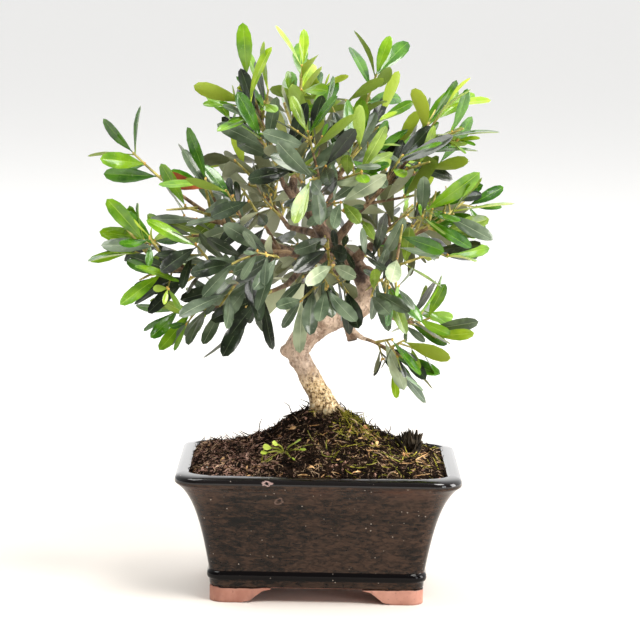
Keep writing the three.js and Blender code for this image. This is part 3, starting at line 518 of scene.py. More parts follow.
def make_feet():
    """The clay feet, taken from the part's own feet with their edges rounded off."""
    clay = clay_finish()
    for name in ("foot_front_left", "foot_front_right", "foot_back_left", "foot_back_right"):
        bm = bmesh.new()
        bm.from_mesh(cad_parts[name].data)
        bmesh.ops.remove_doubles(bm, verts=bm.verts, dist=0.00001)
        bmesh.ops.dissolve_limit(bm, angle_limit=math.radians(2), verts=bm.verts, edges=bm.edges)
        sharp = [edge for edge in bm.edges if edge.calc_face_angle(0) > math.radians(50)]
        bmesh.ops.bevel(bm, geom=sharp, offset=0.7 * MM, segments=3, profile=0.5, affect="EDGES", material=-1,
                        clamp_overlap=True)
        bmesh.ops.triangulate(bm, faces=bm.faces)
        settle(name + "_clay", mesh_of(bm, name + "_clay", 35), [clay], [name])


# Soil.

SOIL_RINGS = [
    (46, 15), (47, 22), (50.6, 40), (56.5, 54), (62, 61), (66.4, 65.4), (66.3, 68), (65.4, 70.4),
    (63, 73.4), (59, 75.6), (55, 77.2), (50, 79.2), (45, 80.8), (40.5, 82.4), (36, 84), (32, 85.8),
    (28, 87.8), (24, 89.8), (20.5, 91.6), (17, 93.3), (14, 94.8), (11.5, 96), (9, 96.7), (6, 97), (3, 97.1)]
SOIL_EDGE = 66
SOIL_DEPTH_SHARE = 0.77
SOIL_PEAK_X = 3
# Fibres: piece, dark and pale colour, roughness, then lengths, radii, lift and bend of the strands.
FIBRES = {
    "dark": ("soil_fibres_dark", (3, 2, 1), (54, 38, 27), 0.92, (3, 9.5), (0.16, 0.46), 0.22, 1.0),
    "brown": ("soil_fibres_brown", (84, 58, 40), (214, 184, 150), 0.92, (3, 8.5), (0.12, 0.3), 0.22, 1.1),
    "red": ("soil_fibres_red", (104, 64, 51), (240, 198, 178), 0.92, (2, 6), (0.12, 0.26), 0.25, 1.4),
    "straw": ("straw_strands", (158, 108, 60), (240, 204, 150), 0.8, (4, 11), (0.2, 0.42), 0.2, 0.5),
    "tuft": ("tuft_strands", (10, 8, 6), (72, 62, 48), 0.8),
    "moss": ("moss_strands", (96, 96, 26), (190, 180, 70), 0.8, (4, 12), (0.2, 0.38), 0.2, 0.6),
}
FIBRE_COUNT = 10500
RIGHT_STRAW_COUNT = 70
MOSS_COUNT = 520
TUFT_COUNT = 85
# Stalks: fibre, place, height and lean.
STALKS = [("dark", -14, 6, 9, -5), ("dark", -33, 14, 12, 2), ("dark", -8, -4, 6, -3),
          ("moss", -30, -38, 9, 2), ("moss", 8, -40, 6, 3), ("dark", 26, 8, 6, 3), ("dark", -52, 20, 7, -2),
          ("dark", 57, -30, 6, 2)]
# Sprig: reach of each stem, and length and width of its leaflet.
SPRIG = [((-6.5, -3, 3.6), 5.8, 4.6), ((-3.2, -3.5, 5.4), 5.0, 4.0), ((-8.5, -4, 1.4), 4.6, 3.4),
         ((4.6, -2, 5.8), 5.4, 2.6), ((3.0, -6, -0.5), 6.0, 2.2), ((7.5, -3, 3.0), 4.6, 2.4)]
GREEN_STRAND_COUNT = 26
CRUMB_TRIES = 2300
GRIT_COUNT = 70
CHIP_COUNT = 170
# Large chips: place, length and width.
LARGE_CHIPS = [(22, -20, 9, 1.6), (30, -18, 7, 2.2), (44, -22, 8, 2.0), (10, -42, 7, 1.7), (-14, -16, 6, 3.2),
               (24, -8, 7, 3.0)]


def make_soil_mound():
    """The mound under all the crumbs and fibres, closed down to the pot's floor."""
    bm = bmesh.new()
    loop = bmesh.ops.create_circle(bm, cap_ends=True, radius=1, segments=120)["verts"]
    turns = [math.atan2(vert.co.y, vert.co.x) for vert in loop]

    def set_ring(verts, ring):
        half_width, height = ring
        inside = height < SOIL_EDGE
        half_depth = half_width - HALF_DEPTH_LESS if inside else half_width * SOIL_DEPTH_SHARE
        rise = max(0.0, (height - 68) / 29)
        square = 2 / (9 - 7 * min(1.0, 1.6 * rise))
        for vert, turn in zip(verts, turns):
            x = math.copysign(abs(math.cos(turn)) ** square, math.cos(turn)) * half_width
            y = math.copysign(abs(math.sin(turn)) ** square, math.sin(turn)) * half_depth
            place = Vector((x + SOIL_PEAK_X * rise, y, height))
            if not inside:
                right = max(0.0, min(1.0, (place.x - 16) / 26))
                left = max(0.0, 1 - ((place.x + 40) / 25) ** 2)
                place.z -= 1.2 + (4.2 * right + 4.6 * left) * min(1.0, (height - SOIL_EDGE) / 8)
                lump = noise.noise(place * 0.11) + 0.6 * noise.noise(place * 0.33)
                place.z += lump * (1.5 if height > 70 else 0.6) * (1 - rise * 0.6)
            vert.co = place

    raise_rings(bm, loop, SOIL_RINGS, set_ring)
    bmesh.ops.recalc_face_normals(bm, faces=bm.faces)
    surface = BVHTree.FromBMesh(bm)
    soil = soil_finish("dark_soil", (6, 3, 2), (36, 25, 18), 190)
    settle("soil_mound", mesh_of(bm, "soil_mound", 60), [soil], ["soil"])
    return surface


def on_soil(surface, x, y):
    """The place on the mound under a point, and the way up from it, in millimetres."""
    start = Vector(in_frame((x, y, 140)))
    hit, normal = surface.ray_cast(start, Vector((0, 0, -1)))[:2]
    if hit is None:
        return None, None
    return (np.array(hit) - POT_MIDDLE) / MM, np.array(normal)


def soil_spot(surface, luck):
    """A spot spread evenly over the top of the soil."""
    while True:
        x = luck.uniform(-65.5, 65.5)
        y = luck.uniform(-50.5, 50.5)
        place, normal = on_soil(surface, x, y)
        if place is not None and place[2] > 66.5:
            return place, normal


def lay_strand(heap, spot, luck, lengths, radii, lift, bend, sides=3):
    """One curved fibre lying on the soil."""
    place, normal = spot
    length = luck.uniform(*lengths)
    radius = luck.uniform(*radii)
    way = unit(np.cross(normal, luck.normal(size=3)))
    side = np.cross(normal, way)
    turn = luck.normal() * bend
    rise = abs(luck.normal()) * lift
    tail = luck.normal() * 0.25 * lift
    line = []
    for share in (-0.5, -0.17, 0.17, 0.5):
        up = radius * 0.6 + length * (rise * (share + 0.5) + tail * abs(share))
        line.append(place + way * (share * length) + side * turn * length * share * share + normal * up)
    heap.tube(line, [radius * 0.55, radius, radius * 0.9, radius * 0.35], sides)


def fibre_kind(pick, left):
    """The fibre at a spot: reddish and brown on the left, mossy, straw or dark elsewhere."""
    if pick < 0.55 * left:
        return "red"
    if pick < 0.66 * left + 0.14 * (1 - left):
        return "brown"
    if pick < 0.19 * (1 - left):
        return "moss"
    return "straw" if pick < 0.21 * (1 - left) else "dark"


def make_soil_fibres(surface):
    luck = np.random.default_rng(11)
    heaps = {kind: Heap() for kind in FIBRES}
    for _ in range(FIBRE_COUNT):
        spot = soil_spot(surface, luck)
        left = 1 / (1 + math.exp((spot[0][0] + 24) / 7))
        kind = fibre_kind(luck.random(), left)
        lay_strand(heaps[kind], spot, luck, *FIBRES[kind][4:])
    for _ in range(RIGHT_STRAW_COUNT):
        spot = on_soil(surface, luck.uniform(22, 57), luck.uniform(-32, -4))
        lay_strand(heaps["straw"], spot, luck, (3, 9), (0.22, 0.45), 0.25, 0.5)
    add_moss_by_trunk(heaps["moss"], surface, luck)
    add_tuft(heaps["tuft"], surface, luck)
    add_stalks(heaps, surface, luck)
    for kind, heap in heaps.items():
        name, dark, pale, roughness = FIBRES[kind][:4]
        finish = soil_finish(name.replace("strands", "strand"), dark, pale, 260, roughness)
        heap.settle(name, [finish], "soil")


def add_moss_by_trunk(heap, surface, luck):
    """Short green strands on the right of the trunk's foot and down the front of the mound."""
    for _ in range(MOSS_COUNT):
        far = abs(luck.normal()) * 13
        turn = luck.uniform(-1.7, 0.6)
        spot = on_soil(surface, 12 + far * math.cos(turn), far * math.sin(turn) - 5)
        if spot[0] is not None:
            lay_strand(heap, spot, luck, (2, 6), (0.14, 0.26), 0.4, 0.7)


def add_tuft(heap, surface, luck):
    """A dark spiky clump of dead fibre near the right end."""
    foot = on_soil(surface, 49, -8)[0]
    for _ in range(TUFT_COUNT):
        way = unit(vec(luck.normal() * 0.55, luck.normal() * 0.55, abs(luck.normal()) + 0.5))
        length = luck.uniform(8, 14)
        start = foot + vec(luck.normal() * 1.6, luck.normal() * 1.6, 0)
        bow = UP * luck.uniform(-1, 1.5)
        marks = ((0, 0), (0.4, 0.4), (0.75, 0.5), (1, 0))
        line = [start + way * length * far + bow * raised for far, raised in marks]
        heap.tube(line, [0.9, 1.2, 0.8, 0.15], 4)


def add_stalks(heaps, surface, luck):
    """A few thin stalks that stand up from the mound."""
    for kind, x, y, tall, lean in STALKS:
        start = on_soil(surface, x, y)[0] - UP
        line = [start, start + vec(lean * 0.2, 0, tall * 0.4), start + vec(lean * 0.5, 0.6, tall * 0.8),
                start + vec(lean, luck.normal(), tall)]
        heaps[kind].tube(line, [0.3, 0.28, 0.24, 0.12], 4)


def make_sprig(surface):
    """A small bright seedling at the front left of the mound, and thin green strands round it."""
    foot = on_soil(surface, -18, -34)[0]
    stems, blades = Heap(), Heap()
    for number, (reach, length, wide) in enumerate(SPRIG):
        end = foot + np.array(reach, float)
        middle = (foot + end) / 2 + UP * 1.2
        stems.tube([foot - UP, middle * 0.5 + foot * 0.5, middle, end], [0.6, 0.55, 0.5, 0.4], 5)
        along = unit(vec(reach[0], reach[1], 0.5 * reach[2]))
        face = unit(vec(0.15, -0.75, 1))
        face = unit(face - along * float(face @ along))
        leaf = Leaf(base=end - along * 0.4, along=along, face=face, across=np.cross(face, along),
                    length=length, width=wide, youth=-0.1, seed=900 + number, mark=1, node=1)
        blades.add(leaf_points(leaf), LEAF_FACES)
    luck = np.random.default_rng(31)
    for _ in range(GREEN_STRAND_COUNT):
        spot = on_soil(surface, luck.uniform(-26, 48), luck.uniform(-46, -8))
        lay_strand(stems, spot, luck, (8, 17), (0.18, 0.32), 0.18, 0.6, 4)
    stems.settle("sprig_stems", [twig_finish("sprig_stem", (122, 128, 38), (184, 180, 80), 0.55)], "leaf")
    leaf_green = leaf_finish("sprig_leaf", (126, 152, 34), (178, 192, 74), 0.4)
    blades.settle("sprig_leaves", [leaf_green], "leaf", degrees=55)


def lump_shape():
    """Points and faces of a crumb of twenty faces, one millimetre in radius."""
    bm = bmesh.new()
    bmesh.ops.create_icosphere(bm, subdivisions=1, radius=1)
    bm.verts.index_update()
    points = np.array([vert.co for vert in bm.verts])
    faces = [tuple(vert.index for vert in face.verts) for face in bm.faces]
    bm.free()
    return points, faces


LUMP_POINTS, LUMP_FACES = lump_shape()


def make_crumbs(surface):
    luck = np.random.default_rng(23)
    brown, pale, straw = Heap(), Heap(), Heap()
    for _ in range(CRUMB_TRIES):
        place, normal = soil_spot(surface, luck)
        left = place[0] < -26 + luck.normal() * 8
        if not left and luck.random() < 0.5:
            continue
        size = luck.uniform(0.35, 1.0) * (1.0 if left else 1.2)
        rough = 1 + 0.28 * luck.normal(size=(12, 1))
        squash = luck.uniform(0.6, 1.2, size=3)
        brown.add(place + normal * size * 0.3 + LUMP_POINTS * rough * squash * size, LUMP_FACES)
    for _ in range(GRIT_COUNT):
        place, normal = soil_spot(surface, luck)
        size = luck.uniform(0.2, 0.5)
        pale.add(place + normal * size * 0.6 + LUMP_POINTS * size, LUMP_FACES)
    for _ in range(CHIP_COUNT):
        place, normal = soil_spot(surface, luck)
        add_chip(straw, place, normal, luck, luck.uniform(1.5, 5.5), luck.uniform(0.5, 1.3))
    for x, y, length, wide in LARGE_CHIPS:
        place, normal = on_soil(surface, x, y)
        add_chip(straw, place + normal * 0.8, normal, luck, length, wide)
    pieces = [("soil_crumbs", brown, ("crumbs", (52, 33, 26), (200, 156, 134), 320)),
              ("soil_grit", pale, ("pale_grit", (196, 186, 170), (238, 234, 226), 320, 0.7)),
              ("bark_chips", straw, ("straw_chips", (146, 96, 56), (236, 196, 142), 240, 0.8))]
    for name, heap, finish in pieces:
        heap.settle(name, [soil_finish(*finish)], "soil", degrees=0)


def add_chip(heap, place, normal, luck, length, wide):
    """A thin bent chip of straw or bark."""
    way = unit(np.cross(normal, luck.normal(size=3)) + normal * luck.normal() * 0.2)
    side = unit(np.cross(normal, way))
    over = np.cross(way, side)
    thick = luck.uniform(0.15, 0.4)
    points = []
    for along, bow, share in ((-0.5, 0, 0.6), (0, 0.12, 1), (0.5, -0.05, 0.4)):
        middle = place + way * along * length + over * (bow * length + 0.4)
        for across, up in ((-1, 0), (1, 0), (1, 1), (-1, 1)):
            points.append(middle + side * across * share * wide / 2 + over * up * thick)
    faces = [(3, 2, 1, 0), (8, 9, 10, 11)]
    for row in (0, 4):
        faces += [(row + a, row + b, row + b + 4, row + a + 4) for a, b in ((0, 1), (1, 2), (2, 3), (3, 0))]
    heap.add(points, faces)


# Growing rule of the limbs, twigs and leaves.

# Trunk: points on its axis and the girth there.
TRUNK_AXIS = [
    (4.6, 0, 92, 8.4), (0.8, 0, 103, 6.5), (-7.5, -1, 118.5, 5.1), (-12, -2, 129, 6.9), (-5, -2, 140, 7.0),
    (10, 0, 147.5, 6.1), (24, 2, 155, 5.4), (20, 3, 171, 5.1), (5, 2, 185, 4.5), (-5, 1, 200, 3.5),
    (-16, 0, 214, 2.6)]
# Boughs: name, the limb that carries it and how far along, middle, tip, and radius at the base and tip.
BOUGHS = [
    ("bough_left", "trunk", 0.735, (-12, -11, 181.5), (-30, -16, 187), 3.4, 2.0),
    ("bough_left_middle", "bough_left", 0.62, (-26, -22, 181), (-36, -28, 176), 2.2, 1.4),
    ("bough_left_low", "bough_left", 0.45, (-11, -13, 174), (-18, -18, 166), 2.2, 1.5),
    ("bough_left_front", "bough_left", 0.3, (-11, -22, 184), (-15, -29, 184), 2.0, 1.3),
    ("bough_upper_left", "trunk", 0.93, (-15, -1, 209), (-21, -2, 217), 2.4, 1.5),
    ("bough_upper_right", "trunk", 0.86, (1, 6, 202), (5, 8, 212), 2.6, 1.6),
    ("bough_right_high", "trunk", 0.80, (12, -3, 194), (18, -8, 203), 2.8, 1.7),
    ("bough_right", "trunk", 0.735, (26, -9, 186), (35, -15, 190), 3.0, 1.7),
    ("bough_right_low", "trunk", 0.585, (30, -2, 152), (35, -5, 149), 2.2, 1.4),
    ("bough_right_bottom", "trunk", 0.50, (18, -6, 139.5), (22, -9, 137), 2.0, 1.3),
    ("bough_right_front", "trunk", 0.70, (24, -10, 174), (28, -22, 173), 2.2, 1.4),
    ("bough_front_low", "bough_left", 0.14, (8, -11, 179), (5, -23, 177), 2.2, 1.4),
    ("bough_front", "trunk", 0.87, (-3, -10, 198), (-4, -20, 201), 2.4, 1.5),
    ("bough_back_left", "trunk", 0.83, (-8, 13, 191), (-18, 23, 192), 2.8, 1.6),
    ("bough_back_right", "trunk", 0.72, (22, 14, 180), (28, 24, 184), 2.8, 1.6),
    ("bough_back_top", "trunk", 0.90, (-5, 9, 208), (-4, 17, 214), 2.4, 1.5),
    ("bough_back_low", "trunk", 0.66, (15, 15, 170), (8, 27, 167), 2.6, 1.5),
]
# Masses: name, carrier, tip of the stem, its rise, width of the space, most shoots, their reach, and seed.
MASSES = [
    ("left_high", "bough_left", (-100, -18, 234), -5, 34, 9, 48, 309),
    ("left_middle", "bough_left_middle", (-97, -38, 184), -6, 33, 13, 38, 5),
    ("left_low", "bough_left_low", (-76, -26, 152), -3, 33, 5, 18, 302),
    ("left_front", "bough_left_front", (-46, -62, 181), 3, 38, 5, 38, 180),
    ("upper_left", "bough_upper_left", (-42, -2, 274), 2, 38, 8, 24, 21),
    ("top", "trunk", (-12, 2, 280), 4, 34, 5, 30, 389),
    ("upper_right", "bough_upper_right", (27, 4, 276), 0, 36, 8, 32, 35),
    ("right_high", "bough_right_high", (63, -16, 261), -4, 36, 11, 36, 148),
    ("right_middle", "bough_right", (68, -30, 206), -2, 33, 9, 26, 250),
    ("right_low", "bough_right_low", (58, -6, 148), -3, 30, 5, 14, 102),
    ("right_bottom", "bough_right_bottom", (50, -14, 123), 2, 27, 4, 16, 116),
    ("right_front", "bough_right_front", (40, -60, 178), 3, 34, 11, 32, 214),
    ("front_low", "bough_front_low", (2, -58, 168), 5, 36, 9, 29, 87),
    ("front", "bough_front", (1, -60, 232), 4, 40, 7, 30, 323),
    ("back_left", "bough_back_left", (-44, 56, 222), 0, 39, 11, 14, 232),
    ("back_right", "bough_back_right", (49, 56, 202), 0, 42, 5, 30, 85),
    ("back_top", "bough_back_top", (-4, 48, 262), 2, 40, 5, 28, 321),
    ("back_low", "bough_back_low", (-8, 64, 168), 3, 45, 8, 22, 397),
]
FOLIAGE_MIDDLE = vec(-12, 0, 190)
FOLIAGE_HALF_WIDTH = 108
FOLIAGE_HALF_DEPTH = 80
FOLIAGE_HALF_HEIGHT = 106
INTERNODE = 8.6
SEAT = 0.3
TIP_SETBACK = 1.4
LEAF_LENGTH = 27.5
LEAF_WIDTH_SHARE = 0.345
LEAF_MARGIN = 0.8
LEAF_SPACING = 4.4
LEAF_REACH = 32
SHOOT_MARGIN = 1.1
SHOOT_SPACING = 5
VIEW_SLOPE = 0.1317
SPUR_PLACES = (0.3, 0.55, 0.8)
SPUR_SHARE = 0.2
SPUR_MARGIN = 0.5
SPUR_LEAF_SIZES = (0.62, 0.48)
SPUR_LEAF_SPACING = 2.6
# Openings in the foliage, as the viewer sees them: across, up and radius.
OPENINGS = np.array([
    (74, 155, 8), (-66, 253, 7.5), (-84, 237, 7), (-105, 167, 7), (-50, 274, 6), (7, 285, 5.5),
    (63, 272, 5.5), (-88, 207, 5.5), (79, 170, 5), (-110, 211, 5), (47, 163, 5), (-25, 286, 4.5),
    (47, 287, 4.5), (62, 174, 4.5), (13, 271, 4), (5, 123, 14), (62, 250, 3.5), (-67, 207, 3.5),
    (37, 249, 3.5)])
LEAF_GRID = np.array([
    (0.15, 0), (0.3, 0), (0.45, 0), (0.6, 0), (0.75, 0), (0.9, 0), (1, 0), (0.3, -0.8), (0.3, 0.8),
    (0.45, -1), (0.45, 1), (0.6, -1), (0.6, 1), (0.75, -0.8), (0.75, 0.8)])
LEAF_OUTLINE = np.array([(0.08, 0), (0.4, 1), (0.68, 0.92), (1, 0), (0.68, -0.92), (0.4, -1)])
LEAF_FLATS = np.array([(0, 1, 5), (1, 2, 5), (2, 4, 5), (2, 3, 4)])


def smooth_point(points, share):
    """A point on the smooth curve through the given points."""
    spans = len(points) - 1
    before = min(int(spans * share), spans - 1)
    rest = spans * share - before
    start, end = points[before], points[before + 1]
    ahead = points[before - 1] if before > 0 else 2 * points[0] - points[1]
    behind = points[before + 2] if before + 2 <= spans else 2 * points[-1] - points[-2]
    leave, arrive = 0.5 * (end - ahead), 0.5 * (behind - start)
    square = -3 * start + 3 * end - 2 * leave - arrive
    cube = 2 * start - 2 * end + leave + arrive
    return start + leave * rest + square * rest ** 2 + cube * rest ** 3


def bend_points(bend, count):
    """Points along a stem's bend, evenly by share."""
    start, pull, end = bend
    return np.array([(1 - share) ** 2 * start + 2 * (1 - share) * share * pull + share ** 2 * end
                     for share in np.linspace(0, 1, count)])


def bend_way(bend, share):
    start, pull, end = bend
    return unit(2 * (1 - share) * (pull - start) + 2 * share * (end - pull))


def between(start, end, shares):
    """Points on the straight line from one place to another."""
    return np.array([start + (end - start) * share for share in shares])


def point_along(points, share):
    place = share * (len(points) - 1)
    before = min(int(place), len(points) - 2)
    return points[before] + (points[before + 1] - points[before]) * (place - before)


def cuts(lines, outlines):
    """True where any of the lines passes through any of the leaves."""
    if not lines or not outlines:
        return False
    starts = np.concatenate([line[:-1] for line in lines])
    ways = np.concatenate([line[1:] for line in lines]) - starts
    flats = np.concatenate([outline[LEAF_FLATS] for outline in outlines])
    first = flats[:, 1] - flats[:, 0]
    second = flats[:, 2] - flats[:, 0]
    across = np.cross(ways[:, None, :], second[None])
    size = np.einsum("tk,stk->st", first, across)
    size = np.where(np.abs(size) < 1e-9, 1e-9, size)
    offset = starts[:, None, :] - flats[None, :, 0]
    u = np.einsum("stk,stk->st", offset, across) / size
    turned = np.cross(offset, np.broadcast_to(first[None], offset.shape))
    v = np.einsum("sk,stk->st", ways, turned) / size
    far = np.einsum("tk,stk->st", second, turned) / size
    return bool(((u >= 0) & (v >= 0) & (u + v <= 1) & (far >= 0) & (far <= 1)).any())


def distances(points, starts, ways):
    """How far each point is from each straight piece."""
    lengths = (ways ** 2).sum(1)
    share = np.einsum("nmk,mk->nm", points[:, None, :] - starts[None], ways) / lengths[None]
    near = starts[None] + np.clip(share, 0, 1)[..., None] * ways[None]
    return np.sqrt(((points[:, None, :] - near) ** 2).sum(-1))


def swing(trial, amount):
    """Turns that go further to one side and the other with each trial."""
    return (trial + 1) // 2 * (1 if trial % 2 else -1) * amount


def pairs(spin, node):
    """The turns of the two leaves at a node, each pair square to the last."""
    return [(half, spin + node * math.pi / 2 + half * math.pi) for half in (0, 1)]


class Limb:
    """The trunk or a bough: a smooth line and its girth."""

    def __init__(self, points, radii, samples):
        self.points = [np.array(point, float) for point in points]
        shares = np.linspace(0, 1, samples + 1)
        self.line = np.array([smooth_point(self.points, share) for share in shares])
        self.girths = np.interp(shares, np.linspace(0, 1, len(radii)), radii)
        self.end = self.points[-1]
        self.end_way = unit(self.line[-1] - self.line[-2])


class Stem:
    """The stem of one mass of foliage and all that has grown on it."""

    def __init__(self, spec, limbs):
        carrier, tip, rise, self.width, self.may_carry, self.reach, self.seed = spec[1:]
        self.carrier = limbs[carrier]
        root = self.carrier.end + self.carrier.end_way * SEAT
        tip = np.array(tip, float)
        self.bend = (root, 0.5 * (root + tip) + UP * 2 * rise, tip)
        self.line = bend_points(self.bend, 13)
        self.joints = bend_points(self.bend, 5)
        self.length = float(np.linalg.norm(np.diff(self.line, axis=0), axis=1).sum())
        self.shoots = []
        self.spurs = []
        self.lines = [self.line]
        self.leaves = []
        self.outlines = []
        self.middles = []


class Plant:
    """All limbs, and the stems with the shoots, spurs and leaves that grow on them."""

    def __init__(self):
        self.limbs = {"trunk": Limb([mark[:3] for mark in TRUNK_AXIS], [mark[3] for mark in TRUNK_AXIS], 60)}
        for name, carrier, place, middle, tip, base_radius, tip_radius in BOUGHS:
            start = smooth_point(self.limbs[carrier].points, place)
            radii = [base_radius, (base_radius + tip_radius) / 2, tip_radius]
            self.limbs[name] = Limb([start, middle, tip], radii, 14)
        self.stems = [Stem(spec, self.limbs) for spec in MASSES]
        limbs = self.limbs.values()
        self.limb_starts = np.concatenate([limb.line[:-1] for limb in limbs])
        self.limb_ways = np.concatenate([limb.line[1:] - limb.line[:-1] for limb in limbs])
        self.limb_girths = np.concatenate([np.maximum(limb.girths[:-1], limb.girths[1:]) for limb in limbs])
        self.stem_starts = np.concatenate([stem.line[:-1] for stem in self.stems])
        self.stem_ways = np.concatenate([stem.line[1:] - stem.line[:-1] for stem in self.stems])
        for stem in self.stems:
            self.grow(stem)
        for stem in self.stems:
            self.grow_finer(stem)

    def fits(self, own, points, margin, clear):
        """True where all points are nearest their own stem, in no opening and clear of the limbs."""
        far = distances(points, self.stem_starts, self.stem_ways)
        far = far.reshape(len(points), len(self.stems), -1).min(2)
        place = self.stems.index(own)
        near = far[:, place].copy()
        if near.max() > own.width:
            return False
        far[:, place] = 1e9
        if (far.min(1) - near).min() < 2 * margin:
            return False
        fall = points[:, 2] + VIEW_SLOPE * points[:, 1]
        off = np.hypot(points[:, :1] - OPENINGS[None, :, 0], fall[:, None] - OPENINGS[None, :, 1])
        if not (off >= OPENINGS[None, :, 2]).all():
            return False
        far = distances(points, self.limb_starts, self.limb_ways)
        return bool((far > self.limb_girths[None] + clear).all())

    def grow(self, stem):
        nodes = max(3, round(stem.length / INTERNODE))
        spin = chance(stem.seed, 1, 1) * math.pi
        for node in range(1, nodes + 1):
            share = node / nodes
            base = point_along(stem.joints, min(share, 1 - TIP_SETBACK / stem.length))
            way = bend_way(stem.bend, share)
            reach = stem.reach * (1.1 - 0.4 * share)
            for half, roll in pairs(spin, node):
                mark = node * 2 + half
                may_branch = share < 0.9 and len(stem.shoots) < stem.may_carry
                if may_branch and self.add_shoot(stem, mark, base, way, roll, reach):
                    continue
                self.add_leaf(stem, 0, mark, 50, base, way, roll, share)
        way = bend_way(stem.bend, 1)
        self.add_leaf(stem, 0, 3, 90, stem.bend[2] - way * 0.7, way, spin + 0.6, 1.25)

    def add_shoot(self, stem, mark, base, way, roll, reach):
        longest = reach * (0.7 + 0.6 * chance(stem.seed, mark, 2))
        outward = unit(base - FOLIAGE_MIDDLE)
        for trial in range(6):
            length = longest * (1 - 0.12 * trial)
            first = unit(way * 0.55 + aside(way, roll + swing(trial, 0.6)) * 0.85)
            whole = unit(first + outward * 0.2 + UP * 0.22)
            end = base + whole * length
            line = between(base, end, np.linspace(0.15, 1, 7))
            if not self.fits(stem, line, SHOOT_MARGIN, 1.3):
                continue
            others = [distances(line[2:], other[:-1], np.diff(other, axis=0)).min() for other in stem.shoots]
            if min(others, default=SHOOT_SPACING) < SHOOT_SPACING or cuts([line], stem.outlines):
                continue
            stem.shoots.append(between(base, end, np.linspace(0.2, 1, 6)))
            stem.lines.append(line)
            carrier = len(stem.lines) - 1
            nodes = max(2, round(length / INTERNODE))
            spin = chance(stem.seed, mark, 3) * math.pi
            for node in range(1, nodes + 1):
                share = node / nodes
                foot = base + (end - base) * min(share, 1 - TIP_SETBACK / length)
                for half, turned in pairs(spin, node):
                    self.add_leaf(stem, carrier, mark, node * 2 + half, foot, whole, turned, share)
            self.add_leaf(stem, carrier, mark, 90, end - whole * 0.7, whole, spin, 1.25)
            return True
        return False

    def grow_finer(self, stem):
        """Carries the stem and its shoots on to short spurs with small leaves, in the same space."""
        for carrier, line in enumerate(list(stem.lines)):
            for step, place in enumerate(SPUR_PLACES):
                mark = 200 + carrier * 8 + step
                if chance(stem.seed, mark, 41) <= SPUR_SHARE:
                    base = point_along(line, place)
                    way = unit(point_along(line, min(1, place + 0.1)) - point_along(line, place - 0.1))
                    self.add_spur(stem, mark, base, way)

    def add_spur(self, stem, mark, base, way):
        for trial in range(8):
            length = (6 + 9 * chance(stem.seed, mark, 42)) * (1 - 0.06 * trial)
            turn = 2 * math.pi * chance(stem.seed, mark, 43) + trial * 2.4
            whole = unit(way * 0.55 + aside(way, turn) * 0.85 + UP * 0.2)
            line = np.array([base + whole * length * share for share in (0.15, 0.45, 0.75, 1)])
            if not self.fits(stem, line, SPUR_MARGIN, 1.0) or cuts([line], stem.outlines):
                continue
            stem.spurs.append((base, line[-1]))
            stem.lines.append(line)
            carrier = len(stem.lines) - 1
            spin = math.pi * chance(stem.seed, mark, 44)
            for node, share in enumerate((0.5, 0.95)):
                size = SPUR_LEAF_SIZES[node] * (0.85 + 0.3 * chance(stem.seed, mark, node, 45))
                foot = base + whole * length * share
                for half, turned in pairs(spin, node):
                    self.add_leaf(stem, carrier, mark, 2 * node + half, foot, whole, turned, share, size,
                                  SPUR_LEAF_SPACING)
            self.add_leaf(stem, carrier, mark, 90, line[-1] - whole * 0.5, whole, spin, 1.25, 0.5,
                          SPUR_LEAF_SPACING)
            return

    def leaf_crosses(self, stem, outline, carrier):
        if cuts([line for own, line in enumerate(stem.lines) if own != carrier], [outline]):
            return True
        middle = outline[[0, 3]].mean(0)
        edge = outline[[0, 1, 2, 3, 4, 5, 0]]
        for other in stem.outlines:
            if np.abs(other[[0, 3]].mean(0) - middle).max() > LEAF_REACH:
                continue
            if cuts([edge], [other]) or cuts([other[[0, 1, 2, 3, 4, 5, 0]]], [outline]):
                return True
        return False

    def add_leaf(self, stem, carrier, mark, node, base, way, roll, share, size=1.0, spacing=LEAF_SPACING):
        def luck(kind):
            return chance(stem.seed, mark, node, kind)

        outward = unit(base - FOLIAGE_MIDDLE)
        spread_x = (base[0] - FOLIAGE_MIDDLE[0]) / FOLIAGE_HALF_WIDTH
        spread_z = (base[2] - FOLIAGE_MIDDLE[2]) / FOLIAGE_HALF_HEIGHT
        spread = math.hypot(spread_x, max(spread_z, 0.3 * spread_z))
        youth = spread + 0.35 * (luck(5) - 0.5) + 0.12 * (share - 0.6) - 0.8
        young = youth > 0
        length = size * LEAF_LENGTH * (0.82 + 0.36 * luck(1)) * (1.1 if young else 1.0)
        opening = math.radians(74 - 34 * min(share, 1) + 24 * (luck(2) - 0.5))
        if share > 1.2:
            length *= 0.75
            opening = math.radians(6)
        lift = 0.3 * luck(6) if young else 0.1 - 0.8 * luck(6)
        tilt = vec(luck(7) - 0.5, luck(8) - 0.5, luck(9) - 0.5)
        width = length * LEAF_WIDTH_SHARE
        for trial in range(7):
            side = aside(way, roll + swing(trial, 0.5) + 0.4 * (luck(3) - 0.5))
            along = unit(way * math.cos(opening) + side * math.sin(opening) + UP * lift)
            face = outward * 0.6 + UP * 0.35 + tilt * 1.3 + vec(0, -0.4 if base[1] < 15 else 0.4, 0)
            face = face - along * float(face @ along)
            if float(face @ face) < 0.02:
                continue
            face = unit(face)
            breadth = np.cross(face, along)
            middles = np.array([base + along * length * far for far in (0.3, 0.55, 0.8)])
            if stem.middles:
                gaps = np.sqrt(((middles[:, None] - np.array(stem.middles)[None]) ** 2).sum(-1))
                if gaps.min() < spacing:
                    continue

            def spread_out(marks):
                return base + marks[:, :1] * along * length + marks[:, 1:] * breadth * width / 2

